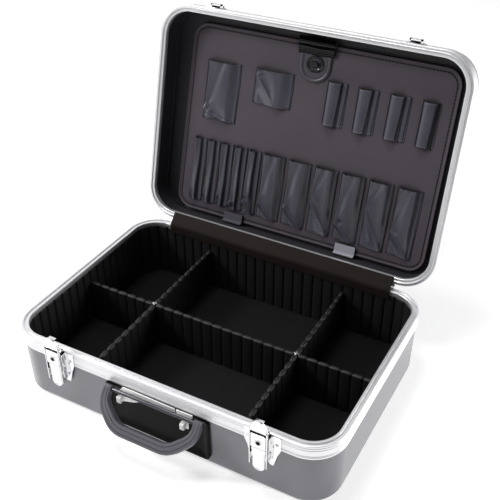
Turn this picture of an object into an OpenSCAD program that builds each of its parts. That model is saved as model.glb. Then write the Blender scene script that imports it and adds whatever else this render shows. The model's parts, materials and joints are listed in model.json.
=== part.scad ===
// Hard tool case, shown open: moulded shells in aluminium frames, a lid on a long hinge,
// six lined compartments, a tool panel in the lid, two key latches and a carrying handle.
// The origin is on the ground, under the middle of the base. +Z is up and -Y is the front.

/* [Case] */
// Width over the aluminium frames
case_w = 460; // [400:5:520]
// Depth over the aluminium frames
case_d = 320; // [290:5:380]
// Height of the base up to its rim
base_h = 98; // [92:1:140]
// Height of the lid from its rim to its top
lid_h = 45; // [42:1:60]
// Outer radius of the upright corners
corner_r = 46; // [36:1:60]
// Radius of the moulded edge round the floor and the lid's top
edge_r = 8; // [5:1:10]
// Wall of the moulded shells
shell_t = 2.6; // [2:0.1:3.5]
// Draft of a shell's side from the frame to its far edge
shell_draft = 1.5; // [0.5:0.1:3]

/* [Frames] */
// Width of the rim, from inner to outer edge
rim_w = 10; // [9.5:0.5:13]
// Height of the frame's outer face
frame_h = 20; // [16:1:26]
// Metal thickness of the frame
frame_t = 1.4; // [1:0.1:2]
// Gap between the two rims of the closed case
seam_gap = 0.6; // [0.4:0.1:1]
// Depth of the groove in the base rim
groove_depth = 2.2; // [1.6:0.1:2.4]
// Width of the groove in the base rim
groove_w = 3.2; // [2.8:0.1:3.6]

/* [Hinge] */
// Angle of the open lid, from closed
open_angle = 104; // [95:1:110]
// Length of one knuckle
knuckle_len = 12; // [10:1:20]
// Outer radius of a knuckle
knuckle_r = 2.2; // [2:0.1:2.3]
// Radius of the hinge pin
hinge_pin_r = 1.1; // [0.8:0.05:1.2]
// Height of a hinge leaf
leaf_h = 15; // [10:1:18]
// Thickness of a hinge leaf
leaf_t = 0.9; // [0.6:0.1:1]
// Height of the hinge axis over the base rim
hinge_rise = 2.2; // [2:0.1:3]
// How much shorter the strip inside is than the hinge
cover_short = 4; // [0:2:60]

/* [Lining] */
// Distance from one groove of the ribbed lining to the next
rib_pitch = 15.6; // [13:0.1:18]
// Width of a groove in the lining
rib_groove = 3.4; // [3:0.1:5]
// Depth of a groove in the lining
rib_depth = 1.8; // [1:0.1:2.2]
// Thickness of the ribbed lining
lining_t = 4.6; // [4:0.1:5.4]
// Thickness of the floor pad
pad_t = 4; // [3:0.5:6]
// Height of the dividers
divider_h = 66; // [50:1:72]
// Thickness of a divider
divider_t = 7; // [6:0.5:9]
// Grooves from the middle to a cross divider
divider_step = 7; // [5:1:9]

/* [Tool panel] */
// Room beside the tool panel, left and right together
panel_room_x = 58; // [56:1:80]
// Room above and below the tool panel together
panel_room_y = 37; // [36:1:60]
// Thickness of the tool panel
panel_t = 4; // [3:0.5:5]
// Corner radius of the tool panel
panel_r = 24; // [12:1:40]
// Sideways place of the tool panel in the lid
panel_x = 7; // [0:1:8]
// Tilt of the tool panel in the lid
panel_tilt = 1.6; // [0:0.1:2]
// Thickness of the pocket material
vinyl_t = 1.2; // [1:0.1:1.5]
// Depth of an open pocket
pocket_d = 9; // [8:0.5:11]
// Height of the lower pockets
pocket_h = 98; // [80:1:110]
// Width of a narrow pocket
narrow_w = 21; // [16:0.5:22]
// Space from one wide pocket to the next
wide_space = 5.3; // [4:0.1:8]
// Width of the large pocket at the top
large_w = 55; // [45:1:60]
// Height of the large pocket at the top
large_h = 86; // [70:1:90]
// Width of the small pocket at the top
small_w = 60; // [48:1:62]
// Height of the small pocket at the top
small_h = 50; // [40:1:70]
// Width of a tool loop
loop_w = 17; // [14:0.5:19]
// Height of a tool loop
loop_h = 60; // [48:1:70]

/* [Latches] */
// Distance of a latch's middle from the side of the case
latch_in = 85; // [75:1:100]
// Half width of a latch plate
latch_half_w = 23.5; // [20:0.5:28]
// Half width of the lock body and the lever
lock_half_w = 9.6; // [8:0.2:11]
// Sheet thickness of the latch parts
latch_t = 1.2; // [1:0.1:1.4]
// Radius of the lever's pin
lever_pin_r = 1.5; // [1.2:0.1:1.8]
// Radius of the lock cylinder
lock_r = 4.2; // [3.5:0.1:5]
// Length of the lever below its pin
lever_len = 32; // [28:1:36]
// Reach of the hook over the base rim
hook_rise = 23; // [22:0.5:25]

/* [Handle] */
// Width of the handle over its arms
handle_w = 140; // [120:1:150]
// Reach of the handle from its rod to the far side of the grip
handle_reach = 49; // [42:1:56]
// Height of the grip across the hand
grip_h = 14; // [11:0.5:17]
// Thickness of the grip
grip_t = 13; // [10:0.5:16]
// Radius of the handle's rod
rod_r = 2.5; // [2:0.1:3]
// Angle of the handle out from the front, at rest
handle_angle = 40; // [20:1:60]

/* [Fits] */
// Running clearance round a pin, on the radius
pin_gap = 0.06; // [0.03:0.01:0.1]
// Clearance beside pieces that move past each other
side_gap = 0.6; // [0.4:0.1:0.8]

/* [Hidden] */
$fn = 48;
tiny = 0.05;
front_y = -case_d / 2;
back_y = case_d / 2;
// frames
flange_t = groove_depth + frame_t;
lip_h = 7;
groove_x = -4.6;
edge_cut = 0.8;
tongue_gap = 0.8;
tongue_w = groove_w - 2 * tongue_gap;
tongue_h = groove_depth - tongue_gap / 2;
// shells
shell_gap = 0.1;
shell_out = frame_t + shell_gap;
shell_top = base_h - flange_t - shell_gap;
lid_rim = base_h + seam_gap;
lid_top = lid_rim + lid_h;
lid_shell_h = lid_h - flange_t - shell_gap;
// lining
wall_in = shell_out + shell_draft + shell_t + 0.2;
lining_top = base_h - lip_h - 0.3;
floor_z = shell_t;
pad_top = floor_z + pad_t;
inner_w = case_w - 2 * (wall_in + lining_t);
inner_d = case_d - 2 * (wall_in + lining_t);
inner_r = corner_r - wall_in - lining_t;
lining_gap = 0.2;
lining_low = pad_top + lining_gap;
pad_step = 0.4;
divider_x = divider_step * rib_pitch;
divider_groove = 1.2;
divider_slot = divider_t + 0.6;
tab_in = rib_depth - 0.4;
clip_len = 7;
clip_w = 2;
clip_t = 0.8;
// hinge
leaf_gap = 0.3;
hinge_y = back_y + knuckle_r + leaf_gap;
hinge_z = base_h + hinge_rise;
knuckles = floor((case_w - 2 * corner_r) / knuckle_len);
hinge_len = knuckles * knuckle_len;
cover_len = hinge_len - cover_short;
cover_hang = 12;
knuckle_gap = 0.3;
leaf_y = back_y;
rivets = 9;
rivet_r = 2.2;
rivet_taper = 0.7;
rivet_h = 1;
// panel
lid_lining_t = 1.2;
inner_edge_r = edge_r - shell_t;
lid_floor = lid_top - shell_t - lid_lining_t - 0.2;
tab_half_w = 15.5;
tab_x = 92;
tab_seam = 13;
tab_t = 1.1;
panel_w = case_w - panel_room_x;
panel_h = case_d - panel_room_y;
panel_bottom = back_y - 12.5;
panel_mid_y = panel_bottom - panel_h / 2;
panel_back_z = lid_floor - 0.5 - sin(panel_tilt) * panel_h / 2;
narrow_pitch = narrow_w + 2.2;
row_in = 21;
row_gap = 1;
narrow_start = -panel_w / 2 + row_in;
wide_start = narrow_start + 5 * narrow_pitch + row_gap;
wide_pitch = (panel_w / 2 - row_in - wide_start + wide_space) / 6;
wide_w = wide_pitch - wide_space;
pocket_foot = 17.5;
large_x = -panel_w * 0.428;
small_x = -panel_w * 0.231;
top_row_y = -panel_h / 2 + 51;
loop_x = panel_w * 0.08;
loop_pitch = panel_w * 0.1095;
loop_seam = 6;
flap_w = 54;
flap_len = 59;
flap_over = 5;
flap_x = 3 - panel_x;
flap_z = 1.3;
flap_t = 1.6;
lock_y = -panel_h / 2 + 29;
lock_plate_t = 1.1;
ring_w = 26;
ring_h = 22;
knob_r = 2.6;
knob_w = 12;
knob_h = 5;
knob_t = 3.2;
// latch, measured outwards from the front face and up from the base rim
latch_x = case_w / 2 - latch_in;
plate_top = -2;
plate_wing = -20;
plate_waist = -30;
plate_bottom = -48;
ear_over = 22;
ear_under = 10;
ear_rim = 3;
lever_axis_y = -6.5;
lever_axis_z = -22.5;
hook_axis_z = lever_axis_z - 20;
lever_front = -10.5;
lever_top = 3.5;
lock_front = -12;
lock_bottom = lever_axis_z + 5.6;
lock_top = 4.5;
lock_edge = 1.5;
cylinder_z = -8.5;
key_slot_w = 1.4;
key_slot_h = 4.8;
key_post_r = 1.3;
key_depth = 5;
leg_in = lock_half_w + side_gap;
leg_out = leg_in + latch_t;
ear_in = leg_out + side_gap;
ear_out = ear_in + latch_t;
leg_back = -9.3;
leg_front = -12.1;
hook_pin_r = lever_pin_r - 0.3;
lever_t = 1.4;
lever_eye_r = 3.4;
hook_eye_r = 2.8;
hook_lip_w = 10;
hook_lip_t = 1.4;
keeper_half = 14;
keeper_low = 3;
keeper_top = 19;
ridge_half = 8;
ridge_z = 15.5;
ridge_h = 2.5;
ridge_y = -4;
lip_gap = 0.6;
// handle
rod_y = -7;
rod_z = base_h - 24;
arm_w = 11;
lug_x = handle_w / 2 - arm_w - 8;
lug_t = 4;
lug_rim = 2;
bar_h = 11;
bar_in = 9;
end_in = 15;
end_low = 24;
end_tip = 19;
bracket_t = 1.4;
back_plate_h = 66;
back_plate_t = 3.2;
back_plate_in = 1.7;
arm_top = 4;
arm_end = 26;
corner_cut = 25;
eye_r = 4.4;

// ---- shapes that repeat ----
module rounded(w, d, r) {
    square([w - 2 * r, d], center = true);
    square([w, d - 2 * r], center = true);
    for (x = [-1, 1], y = [-1, 1]) translate([x * (w / 2 - r), y * (d / 2 - r)]) circle(r);
}

// a profile carried round a rounded rectangle: x = 0 is its outer line, y is up
module swept(w, d, r) {
    cx = w / 2 - r;
    cy = d / 2 - r;
    for (c = [[cx, cy, 0], [-cx, cy, 90], [-cx, -cy, 180], [cx, -cy, 270]])
        translate([c[0], c[1], 0]) rotate([0, 0, c[2]])
            rotate_extrude(angle = 90, $fn = 96) translate([r, 0]) children();
    for (s = [[cx, cy, 0, 2 * cy], [-cx, cy, 90, 2 * cx], [-cx, -cy, 180, 2 * cy], [cx, -cy, 270, 2 * cx]])
        translate([s[0], s[1], 0]) rotate([0, 0, s[2]]) rotate([90, 0, 0])
            linear_extrude(s[3]) translate([r, 0]) children();
}

// a moulded tray, open at the top, with draft and a rounded lower edge
module tray(inset, h, wall_edge) {
    top_r = corner_r - inset;
    low_r = top_r - shell_draft;
    profile = concat([[0, 0]], [for (a = [0 : 15 : 90])
        [low_r - wall_edge + wall_edge * sin(a), wall_edge - wall_edge * cos(a)]], [[top_r, h], [0, h]]);
    hull() for (x = [-1, 1], y = [-1, 1])
        translate([x * (case_w / 2 - corner_r), y * (case_d / 2 - corner_r), 0])
            rotate_extrude($fn = 64) polygon(profile);
}

module shell(h) {
    difference() {
        tray(shell_out, h, edge_r);
        translate([0, 0, shell_t]) tray(shell_out + shell_t, h, inner_edge_r);
    }
}

module lid_open() {
    translate([0, hinge_y, hinge_z]) rotate([-open_angle, 0, 0])
        translate([0, -hinge_y, -hinge_z]) children();
}

module along_x(len) rotate([90, 0, 90]) translate([0, 0, -len / 2]) linear_extrude(len) children();

// ---- base ----
module base_shell() {
    color("dimgray") shell(shell_top);
}

module base_profile() {
    difference() {
        polygon([[0, -frame_h], [0, -edge_cut], [-edge_cut, 0], [-rim_w + edge_cut, 0], [-rim_w, -edge_cut],
            [-rim_w, -lip_h], [-rim_w + frame_t, -lip_h], [-rim_w + frame_t, -flange_t],
            [-frame_t, -flange_t], [-frame_t, -frame_h]]);
        translate([groove_x - groove_w / 2, -groove_depth]) square([groove_w, groove_depth + 1]);
    }
}

module base_frame() {
    color("gainsboro") translate([0, 0, base_h]) swept(case_w, case_d, corner_r) base_profile();
}

module lining_plan() {
    difference() {
        rounded(case_w - 2 * wall_in, case_d - 2 * wall_in, corner_r - wall_in);
        rounded(inner_w, inner_d, inner_r);
        for (i = [-11 : 11]) translate([i * rib_pitch - rib_groove / 2, -inner_d / 2 - rib_depth])
            square([rib_groove, inner_d + 2 * rib_depth]);
        for (i = [-6 : 6]) translate([-inner_w / 2 - rib_depth, i * rib_pitch - rib_groove / 2])
            square([inner_w + 2 * rib_depth, rib_groove]);
        for (x = [-1, 1], y = [-1, 1], a = [20 : 25 : 70])
            translate([x * (inner_w / 2 - inner_r), y * (inner_d / 2 - inner_r)])
                rotate(x * y * a + (x > 0 ? 0 : 180)) translate([inner_r - 1, -rib_groove / 2])
                    square([rib_depth + 1, rib_groove]);
    }
}

module base_lining() {
    color("#1b1a1c") translate([0, 0, lining_low]) linear_extrude(lining_top - lining_low) lining_plan();
}

module floor_pad() {
    // the lower layer is narrower, to clear the rounded edge inside the shell
    step_h = pad_t * pad_step;
    color("#161517") for (layer = [[inner_edge_r, 0, step_h], [inner_edge_r * 0.5, step_h, pad_t - step_h]])
        translate([0, 0, floor_z + layer[1]]) linear_extrude(layer[2])
            rounded(case_w - 2 * (wall_in + layer[0]), case_d - 2 * (wall_in + layer[0]),
                corner_r - wall_in - layer[0]);
}

// a divider along X with grooves in both faces and thin ends that sit in the lining's grooves
module divider_plan(len, count) {
    difference() {
        square([len - 1, divider_t], center = true);
        for (i = [-count : count], s = [-1, 1])
            translate([i * rib_pitch, s * divider_t / 2])
                square([rib_groove, 2 * divider_groove], center = true);
    }
    square([len + 2 * tab_in, rib_groove - 0.6], center = true);
}

module divider_long() {
    color("#232224") difference() {
        translate([0, 0, lining_low]) linear_extrude(divider_h) divider_plan(inner_w, 11);
        for (s = [-1, 1]) translate([s * divider_x - divider_slot / 2, -divider_t, pad_top + divider_h / 2])
            cube([divider_slot, 2 * divider_t, divider_h]);
    }
}

module cross_divider(x) {
    color("#232224") difference() {
        translate([x, 0, lining_low]) rotate([0, 0, 90]) linear_extrude(divider_h) divider_plan(inner_d, 8);
        translate([x - divider_t, -divider_slot / 2, pad_top - 1])
            cube([2 * divider_t, divider_slot, divider_h / 2 + 1.5]);
    }
}

module divider_left() cross_divider(-divider_x);
module divider_right() cross_divider(divider_x);

// a small cross of metal that holds the dividers where they cross
module divider_clips() {
    color("silver") for (s = [-1, 1]) translate([s * divider_x, 0, lining_low + divider_h]) {
        linear_extrude(clip_t) {
            square([clip_len, clip_w], center = true);
            square([clip_w, clip_len], center = true);
        }
        cylinder(r = clip_w * 0.7, h = 2 * clip_t);
    }
}

// ---- hinge ----
module knuckle_row(first) {
    for (i = [first : 2 : knuckles - 1])
        translate([-hinge_len / 2 + i * knuckle_len + knuckle_gap / 2, hinge_y, hinge_z])
            rotate([0, 90, 0]) cylinder(r = knuckle_r, h = knuckle_len - knuckle_gap);
}

module knuckle_tabs(first, low, high) {
    for (i = [first : 2 : knuckles - 1])
        translate([-hinge_len / 2 + i * knuckle_len + knuckle_gap / 2, leaf_y, low])
            cube([knuckle_len - knuckle_gap, leaf_t, high - low]);
}

module hinge_bore() {
    translate([-hinge_len / 2 - 1, hinge_y, hinge_z]) rotate([0, 90, 0])
        cylinder(r = hinge_pin_r + pin_gap, h = hinge_len + 2);
}

module hinge_base_leaf() {
    low = hinge_z - knuckle_r - leaf_gap;
    color("silver") difference() {
        union() {
            translate([-hinge_len / 2, leaf_y, low - leaf_h]) cube([hinge_len, leaf_t, leaf_h]);
            knuckle_tabs(0, low - 1, hinge_z);
            knuckle_row(0);
        }
        hinge_bore();
    }
}

module hinge_lid_leaf() {
    high = hinge_z + knuckle_r + leaf_gap;
    color("silver") lid_open() difference() {
        union() {
            translate([-hinge_len / 2, leaf_y, high]) cube([hinge_len, leaf_t, leaf_h]);
            knuckle_tabs(1, hinge_z, high + 1);
            knuckle_row(1);
        }
        hinge_bore();
    }
}

module hinge_pin() {
    color("gray") translate([-hinge_len / 2 - 0.5, hinge_y, hinge_z]) rotate([0, 90, 0])
        cylinder(r = hinge_pin_r, h = hinge_len + 1);
}

module rivet_row(z) {
    for (i = [0 : rivets - 1]) translate([(i - (rivets - 1) / 2) * hinge_len / rivets, leaf_y + leaf_t, z])
        rotate([-90, 0, 0]) cylinder(r1 = rivet_r, r2 = rivet_r - rivet_taper, h = rivet_h);
}

module hinge_rivets_base() {
    color("lightgray") rivet_row(hinge_z - knuckle_r - leaf_gap - leaf_h / 2);
}

module hinge_rivets_lid() {
    color("lightgray") lid_open() rivet_row(hinge_z + knuckle_r + leaf_gap + leaf_h / 2);
}

// the strip lies on the lid's inner rim, crosses the gap and hangs inside the base's rim
module hinge_cover() {
    inner_y = back_y - wall_in - lining_t - 0.3;
    knee = [inner_y - 1.2, base_h + 1.2];
    low = [inner_y, base_h - cover_hang];
    lean = [hinge_y + (inner_y - hinge_y) * cos(open_angle) - (lid_rim - hinge_z) * sin(-open_angle),
        hinge_z + (inner_y - hinge_y) * sin(-open_angle) + (lid_rim - hinge_z) * cos(open_angle)];
    lean_in = [lean[0] - 1.0, lean[1] + 1.6];
    color("#2a2624") along_x(cover_len) polygon([low, [low[0] - 1, low[1]], [knee[0] - 0.6, knee[1]],
        [lean_in[0] - 1.2, lean_in[1]], [lean_in[0], lean_in[1]], [knee[0] + 1, knee[1]]]);
}

// ---- lid ----
module lid_shell() {
    color("dimgray") lid_open() translate([0, 0, lid_top]) mirror([0, 0, 1]) shell(lid_shell_h);
}

module lid_profile() {
    polygon([[0, frame_h], [0, edge_cut], [-edge_cut, 0], [groove_x + tongue_w / 2, 0],
        [groove_x + tongue_w / 2, -tongue_h], [groove_x - tongue_w / 2, -tongue_h],
        [groove_x - tongue_w / 2, 0], [-rim_w + edge_cut, 0], [-rim_w, edge_cut], [-rim_w, lip_h],
        [-rim_w + frame_t, lip_h], [-rim_w + frame_t, flange_t], [-frame_t, flange_t], [-frame_t, frame_h]]);
}

module lid_frame() {
    color("gainsboro") lid_open() translate([0, 0, lid_rim]) swept(case_w, case_d, corner_r) lid_profile();
}

module lid_lining() {
    side = wall_in;
    low = lid_rim + lip_h + 0.3;
    high = lid_top - edge_r;
    board = lid_lining_t + 1;
    sheet_in = side + inner_edge_r * 0.7;
    fold_out = side + inner_edge_r * 0.36;
    fold_in = side + board + 3;
    color("#242225") lid_open() {
        translate([0, 0, low]) linear_extrude(high - low) difference() {
            rounded(case_w - 2 * side, case_d - 2 * side, corner_r - side);
            rounded(case_w - 2 * side - 2 * board, case_d - 2 * side - 2 * board, corner_r - side - board);
        }
        translate([0, 0, high - 2]) linear_extrude(lid_floor - high + 2) difference() {
            rounded(case_w - 2 * fold_out, case_d - 2 * fold_out, corner_r - fold_out);
            rounded(case_w - 2 * fold_in, case_d - 2 * fold_in, corner_r - fold_in);
        }
        translate([0, 0, lid_floor]) linear_extrude(lid_lining_t)
            rounded(case_w - 2 * sheet_in, case_d - 2 * sheet_in, corner_r - sheet_in);
    }
}

// the panel's own frame: x across, y towards the hinge, z = 0 on its front face, -z towards the viewer
module on_panel() {
    lid_open() translate([panel_x, panel_mid_y, panel_back_z - panel_t])
        rotate([-panel_tilt, 0, 0]) children();
}

module tool_panel() {
    bead = 3;
    color("#4e484f") on_panel() {
        linear_extrude(panel_t) rounded(panel_w, panel_h, panel_r);
        translate([0, 0, -1]) linear_extrude(1 + tiny) difference() {
            rounded(panel_w, panel_h, panel_r);
            rounded(panel_w - 2 * bead, panel_h - 2 * bead, panel_r - bead);
        }
    }
}

module panel_tabs() {
    // each tab is sewn to the panel's foot, turns round its edge and runs down to the lid's rim
    front = panel_back_z - panel_t - sin(panel_tilt) * panel_h / 2;
    fold = panel_bottom + 0.2;
    rim_in = back_y - rim_w - 0.2;
    color("#9a99a3") lid_open() for (s = [-1, 1]) translate([s * tab_x, 0, 0]) along_x(2 * tab_half_w)
        polygon([[fold - tab_seam, front - 2 * tab_t], [fold + 0.2, front - 2 * tab_t],
            [rim_in - 1, lid_rim + 1], [rim_in, lid_rim + 1], [fold + 1.2, front - tab_t],
            [fold - tab_seam, front - tab_t]]);
}

// an open pocket on the panel: mouth at the top edge y0, sides, front and a closed foot
module pocket(x, w, y0, h, d) {
    translate([x, y0, -d]) difference() {
        cube([w, h, d]);
        translate([vinyl_t, -1, vinyl_t]) cube([w - 2 * vinyl_t, h + 1 - vinyl_t, d]);
    }
}

module large_pocket() {
    color("#46444f") on_panel() pocket(large_x, large_w, top_row_y, large_h, pocket_d);
}

module small_pocket() {
    color("#46444f") on_panel() pocket(small_x, small_w, top_row_y - 2, small_h, pocket_d);
}

module tool_loops() {
    color("#5a5964") on_panel() for (i = [0 : 3])
        translate([loop_x + i * loop_pitch, top_row_y - 3, 0]) rotate([-90, 0, 0])
            linear_extrude(loop_h) difference() {
            union() {
                intersection() {
                    circle(loop_w / 2);
                    translate([-loop_w, 0]) square([2 * loop_w, loop_w]);
                }
                translate([-loop_w / 2 - loop_seam, 0]) square([loop_w + 2 * loop_seam, vinyl_t]);
            }
            circle(loop_w / 2 - vinyl_t);
        }
}

module pocket_row(first, count, w, pitch) {
    color("#46444f") on_panel() for (i = [0 : count - 1])
        pocket(first + i * pitch, w, panel_h / 2 - pocket_foot - pocket_h, pocket_h, pocket_d);
}

module narrow_pockets() pocket_row(narrow_start, 5, narrow_w, narrow_pitch);
module wide_pockets_left() pocket_row(wide_start, 3, wide_w, wide_pitch);
module wide_pockets_right() pocket_row(wide_start + 3 * wide_pitch, 3, wide_w, wide_pitch);

module panel_flap() {
    color("#2c2a30") on_panel() translate([flap_x, -panel_h / 2 - flap_over, -flap_z - flap_t])
        linear_extrude(flap_t) {
        translate([-flap_w / 2, 0]) square([flap_w, flap_len - flap_w / 2]);
        translate([0, flap_len - flap_w / 2]) circle(flap_w / 2);
    }
}

module turn_lock_plate() {
    color("#3a393e") on_panel() translate([flap_x, lock_y, -flap_z - flap_t - lock_plate_t])
        linear_extrude(lock_plate_t) difference() {
            rounded(ring_w, ring_h, ring_h / 2 - 0.1);
            circle(knob_r + pin_gap);
        }
}

module turn_lock_knob() {
    under = side_gap / 2;
    color("#55545a") on_panel() translate([flap_x, lock_y, -flap_z - flap_t]) {
        translate([0, 0, -lock_plate_t - under]) cylinder(r = knob_r, h = lock_plate_t + under - tiny);
        translate([0, 0, -lock_plate_t - under - knob_t]) linear_extrude(knob_t + tiny)
            rounded(knob_w, knob_h, knob_h / 2 - tiny);
    }
}

// ---- latches ----
module at_latch(s) {
    translate([s * latch_x, front_y, base_h]) children();
}

module upright(y_near, y_far) {
    translate([0, y_near, 0]) rotate([90, 0, 0]) linear_extrude(y_near - y_far) children();
}

module across(x_half, r, y, z) {
    translate([-x_half, y, z]) rotate([0, 90, 0]) cylinder(r = r, h = 2 * x_half);
}

module latch_plate(s) {
    color("whitesmoke") at_latch(s) difference() {
        union() {
            upright(0, -latch_t) polygon([for (p = [[1, plate_top], [1, plate_wing], [0.82, plate_waist],
                [0.62, plate_bottom], [-0.62, plate_bottom], [-0.82, plate_waist], [-1, plate_wing],
                [-1, plate_top]]) [p[0] * latch_half_w, p[1]]]);
            for (m = [-1, 1])
                translate([m > 0 ? ear_in : -ear_out, lever_axis_y - ear_rim, lever_axis_z - ear_under])
                    cube([latch_t, ear_rim - lever_axis_y, ear_over + ear_under]);
        }
        across(ear_out + 1, lever_pin_r, lever_axis_y, lever_axis_z);
    }
}

module latch_plate_left() latch_plate(-1);
module latch_plate_right() latch_plate(1);

module lock_body(s) {
    color("white") at_latch(s) difference() {
        upright(-latch_t, lock_front) translate([0, (lock_top + lock_bottom) / 2])
            rounded(2 * lock_half_w, lock_top - lock_bottom, lock_edge);
        translate([0, -latch_t, cylinder_z]) rotate([90, 0, 0]) cylinder(r = lock_r + pin_gap, h = 20);
    }
}

module lock_body_left() lock_body(-1);
module lock_body_right() lock_body(1);

module lock_cylinder(s) {
    color("silver") at_latch(s) translate([0, -latch_t - 0.3, cylinder_z]) rotate([90, 0, 0]) difference() {
        cylinder(r = lock_r, h = -lock_front - latch_t);
        translate([-key_slot_w / 2, -key_slot_h / 2, key_depth]) cube([key_slot_w, key_slot_h, 20]);
        translate([0, key_slot_h / 2 - 1, key_depth]) cylinder(r = key_post_r, h = 20);
    }
}

module lock_cylinder_left() lock_cylinder(-1);
module lock_cylinder_right() lock_cylinder(1);

module latch_lever(s) {
    end_r = lock_half_w;
    color("white") at_latch(s) difference() {
        union() {
            upright(lever_front + lever_t, lever_front) {
                translate([-lock_half_w, lever_axis_z - lever_len + end_r])
                    square([2 * lock_half_w, lever_len - end_r + lever_top]);
                translate([0, lever_axis_z - lever_len + end_r]) circle(end_r);
            }
            for (m = [-1, 1]) translate([m > 0 ? lock_half_w - latch_t : -lock_half_w, 0, 0])
                rotate([90, 0, 90]) linear_extrude(latch_t) {
                    translate([lever_front + 0.2, hook_axis_z])
                        square([-lever_front + lever_axis_y + 1.6, lever_axis_z - hook_axis_z]);
                    translate([lever_axis_y, lever_axis_z]) circle(lever_eye_r);
                    translate([lever_axis_y, hook_axis_z]) circle(hook_eye_r);
                }
        }
        across(ear_out, lever_pin_r + pin_gap, lever_axis_y, lever_axis_z);
        across(ear_out, hook_pin_r, lever_axis_y, hook_axis_z);
    }
}

module latch_lever_left() latch_lever(-1);
module latch_lever_right() latch_lever(1);

module latch_hook(s) {
    plate_low = lock_top + 2.2;
    lip_z = ridge_z + 5;
    color("white") at_latch(s) difference() {
        union() {
            upright(leg_back, leg_back - latch_t) {
                translate([-leg_out, plate_low]) square([2 * leg_out, hook_rise - leg_out - plate_low + 6]);
                intersection() {
                    translate([0, hook_rise - leg_out]) circle(leg_out);
                    translate([-leg_out, plate_low]) square([2 * leg_out, hook_rise]);
                }
            }
            translate([-hook_lip_w / 2, leg_back - tiny, lip_z])
                cube([hook_lip_w, ridge_y - lip_gap - leg_back + tiny, hook_lip_t]);
            for (m = [-1, 1]) translate([m > 0 ? leg_in : -leg_out, 0, 0])
                rotate([90, 0, 90]) linear_extrude(latch_t) {
                    translate([leg_front, hook_axis_z])
                        square([leg_back - leg_front, plate_low - hook_axis_z + 3]);
                    translate([leg_front, hook_axis_z - hook_eye_r])
                        square([lever_axis_y - leg_front, 2 * hook_eye_r]);
                    translate([lever_axis_y, hook_axis_z]) circle(hook_eye_r);
                }
        }
        across(ear_out, hook_pin_r + pin_gap, lever_axis_y, hook_axis_z);
    }
}

module latch_hook_left() latch_hook(-1);
module latch_hook_right() latch_hook(1);

module lever_pins() {
    color("silver") for (s = [-1, 1]) at_latch(s)
        across(ear_out + 0.5, lever_pin_r, lever_axis_y, lever_axis_z);
}

module hook_pin(s) {
    color("silver") at_latch(s) across(leg_out + 0.3, hook_pin_r, lever_axis_y, hook_axis_z);
}

module hook_pin_left() hook_pin(-1);
module hook_pin_right() hook_pin(1);

module latch_rivets() {
    color("lightgray") for (s = [-1, 1], m = [-1, 1]) at_latch(s)
        translate([m * (ear_out + latch_half_w) / 2, -latch_t, plate_wing + 7]) rotate([90, 0, 0])
            cylinder(r1 = rivet_r, r2 = rivet_r - rivet_taper, h = rivet_h);
}

module keeper(s) {
    color("white") lid_open() translate([s * latch_x, front_y, base_h]) {
        upright(0, -1) polygon([[-keeper_half, keeper_low], [-keeper_half, keeper_top - 7],
            [4 - keeper_half, keeper_top], [keeper_half - 4, keeper_top], [keeper_half, keeper_top - 7],
            [keeper_half, keeper_low]]);
        translate([-ridge_half, ridge_y, ridge_z]) cube([2 * ridge_half, -ridge_y - 1 + tiny, ridge_h]);
        translate([-ridge_half, ridge_y, ridge_z - 2]) cube([2 * ridge_half, 1, 2 + tiny]);
    }
}

module keeper_left() keeper(-1);
module keeper_right() keeper(1);

// ---- handle ----
module at_rod() {
    translate([0, front_y + rod_y, rod_z]) children();
}

module handle_plate() {
    plate_w = handle_w + 8;
    color("#1c1b1e") translate([0, front_y + back_plate_in, rod_z + 3.5 - back_plate_h / 2])
        rotate([90, 0, 0]) difference() {
        linear_extrude(back_plate_t) rounded(plate_w, back_plate_h, 8);
        translate([0, -2, back_plate_t / 2]) linear_extrude(back_plate_t)
            rounded(plate_w - 10, back_plate_h - 14, 6);
    }
}

// a bar with a shaped end plate under each arm, and a lug on each that carries the rod
module handle_bracket() {
    end_plate = [[-end_in, -14], [-7, -end_low], [0, -end_low], [4, -end_tip], [4, -4], [-1, 2], [-9, 2],
        [-end_in, -2]];
    face_y = front_y + back_plate_in - back_plate_t;
    color("white") difference() {
        union() {
            translate([0, face_y, rod_z]) rotate([90, 0, 0]) linear_extrude(bracket_t) {
                translate([0, -8]) square([2 * (lug_x - bar_in), bar_h], center = true);
                for (s = [-1, 1]) polygon([for (p = end_plate) [s * (lug_x + p[0]), p[1]]]);
            }
            for (s = [-1, 1])
                translate([s * lug_x - lug_t / 2, front_y + rod_y - rod_r - lug_rim, rod_z - rod_r - lug_rim])
                    cube([lug_t, rod_r + 0.5 - rod_y - bracket_t / 2, 2 * (rod_r + lug_rim)]);
        }
        at_rod() across(lug_x + lug_t, rod_r, 0, 0);
    }
}

module handle_rod() {
    color("#4b4a50") at_rod() across(handle_w / 2 + 0.5, rod_r, 0, 0);
}

module handle_outline() {
    half = handle_w / 2;
    low = half - corner_cut;
    outer = -handle_reach + arm_end;
    inner = outer + 5;
    hand = -handle_reach + grip_h;
    polygon([[-half, arm_top], [-half, outer], [-low, -handle_reach], [low, -handle_reach], [half, outer],
        [half, arm_top], [half - arm_w, arm_top], [half - arm_w, inner], [low - 7, hand], [7 - low, hand],
        [arm_w - half, inner], [arm_w - half, arm_top]]);
}

module handle_side() {
    far = -handle_reach + grip_t / 2;
    polygon(concat([for (a = [0 : 15 : 180]) [eye_r * cos(a), eye_r * sin(a)]],
        [for (a = [180 : 15 : 360]) [grip_t / 2 * cos(a), far + grip_t / 2 * sin(a)]]));
}

module handle() {
    color("#4a494e") at_rod() rotate([-handle_angle, 0, 0]) difference() {
        intersection() {
            translate([0, 20, 0]) rotate([90, 0, 0]) linear_extrude(40) handle_outline();
            along_x(handle_w + 2) handle_side();
        }
        across(handle_w, rod_r + pin_gap, 0, 0);
    }
}

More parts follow.
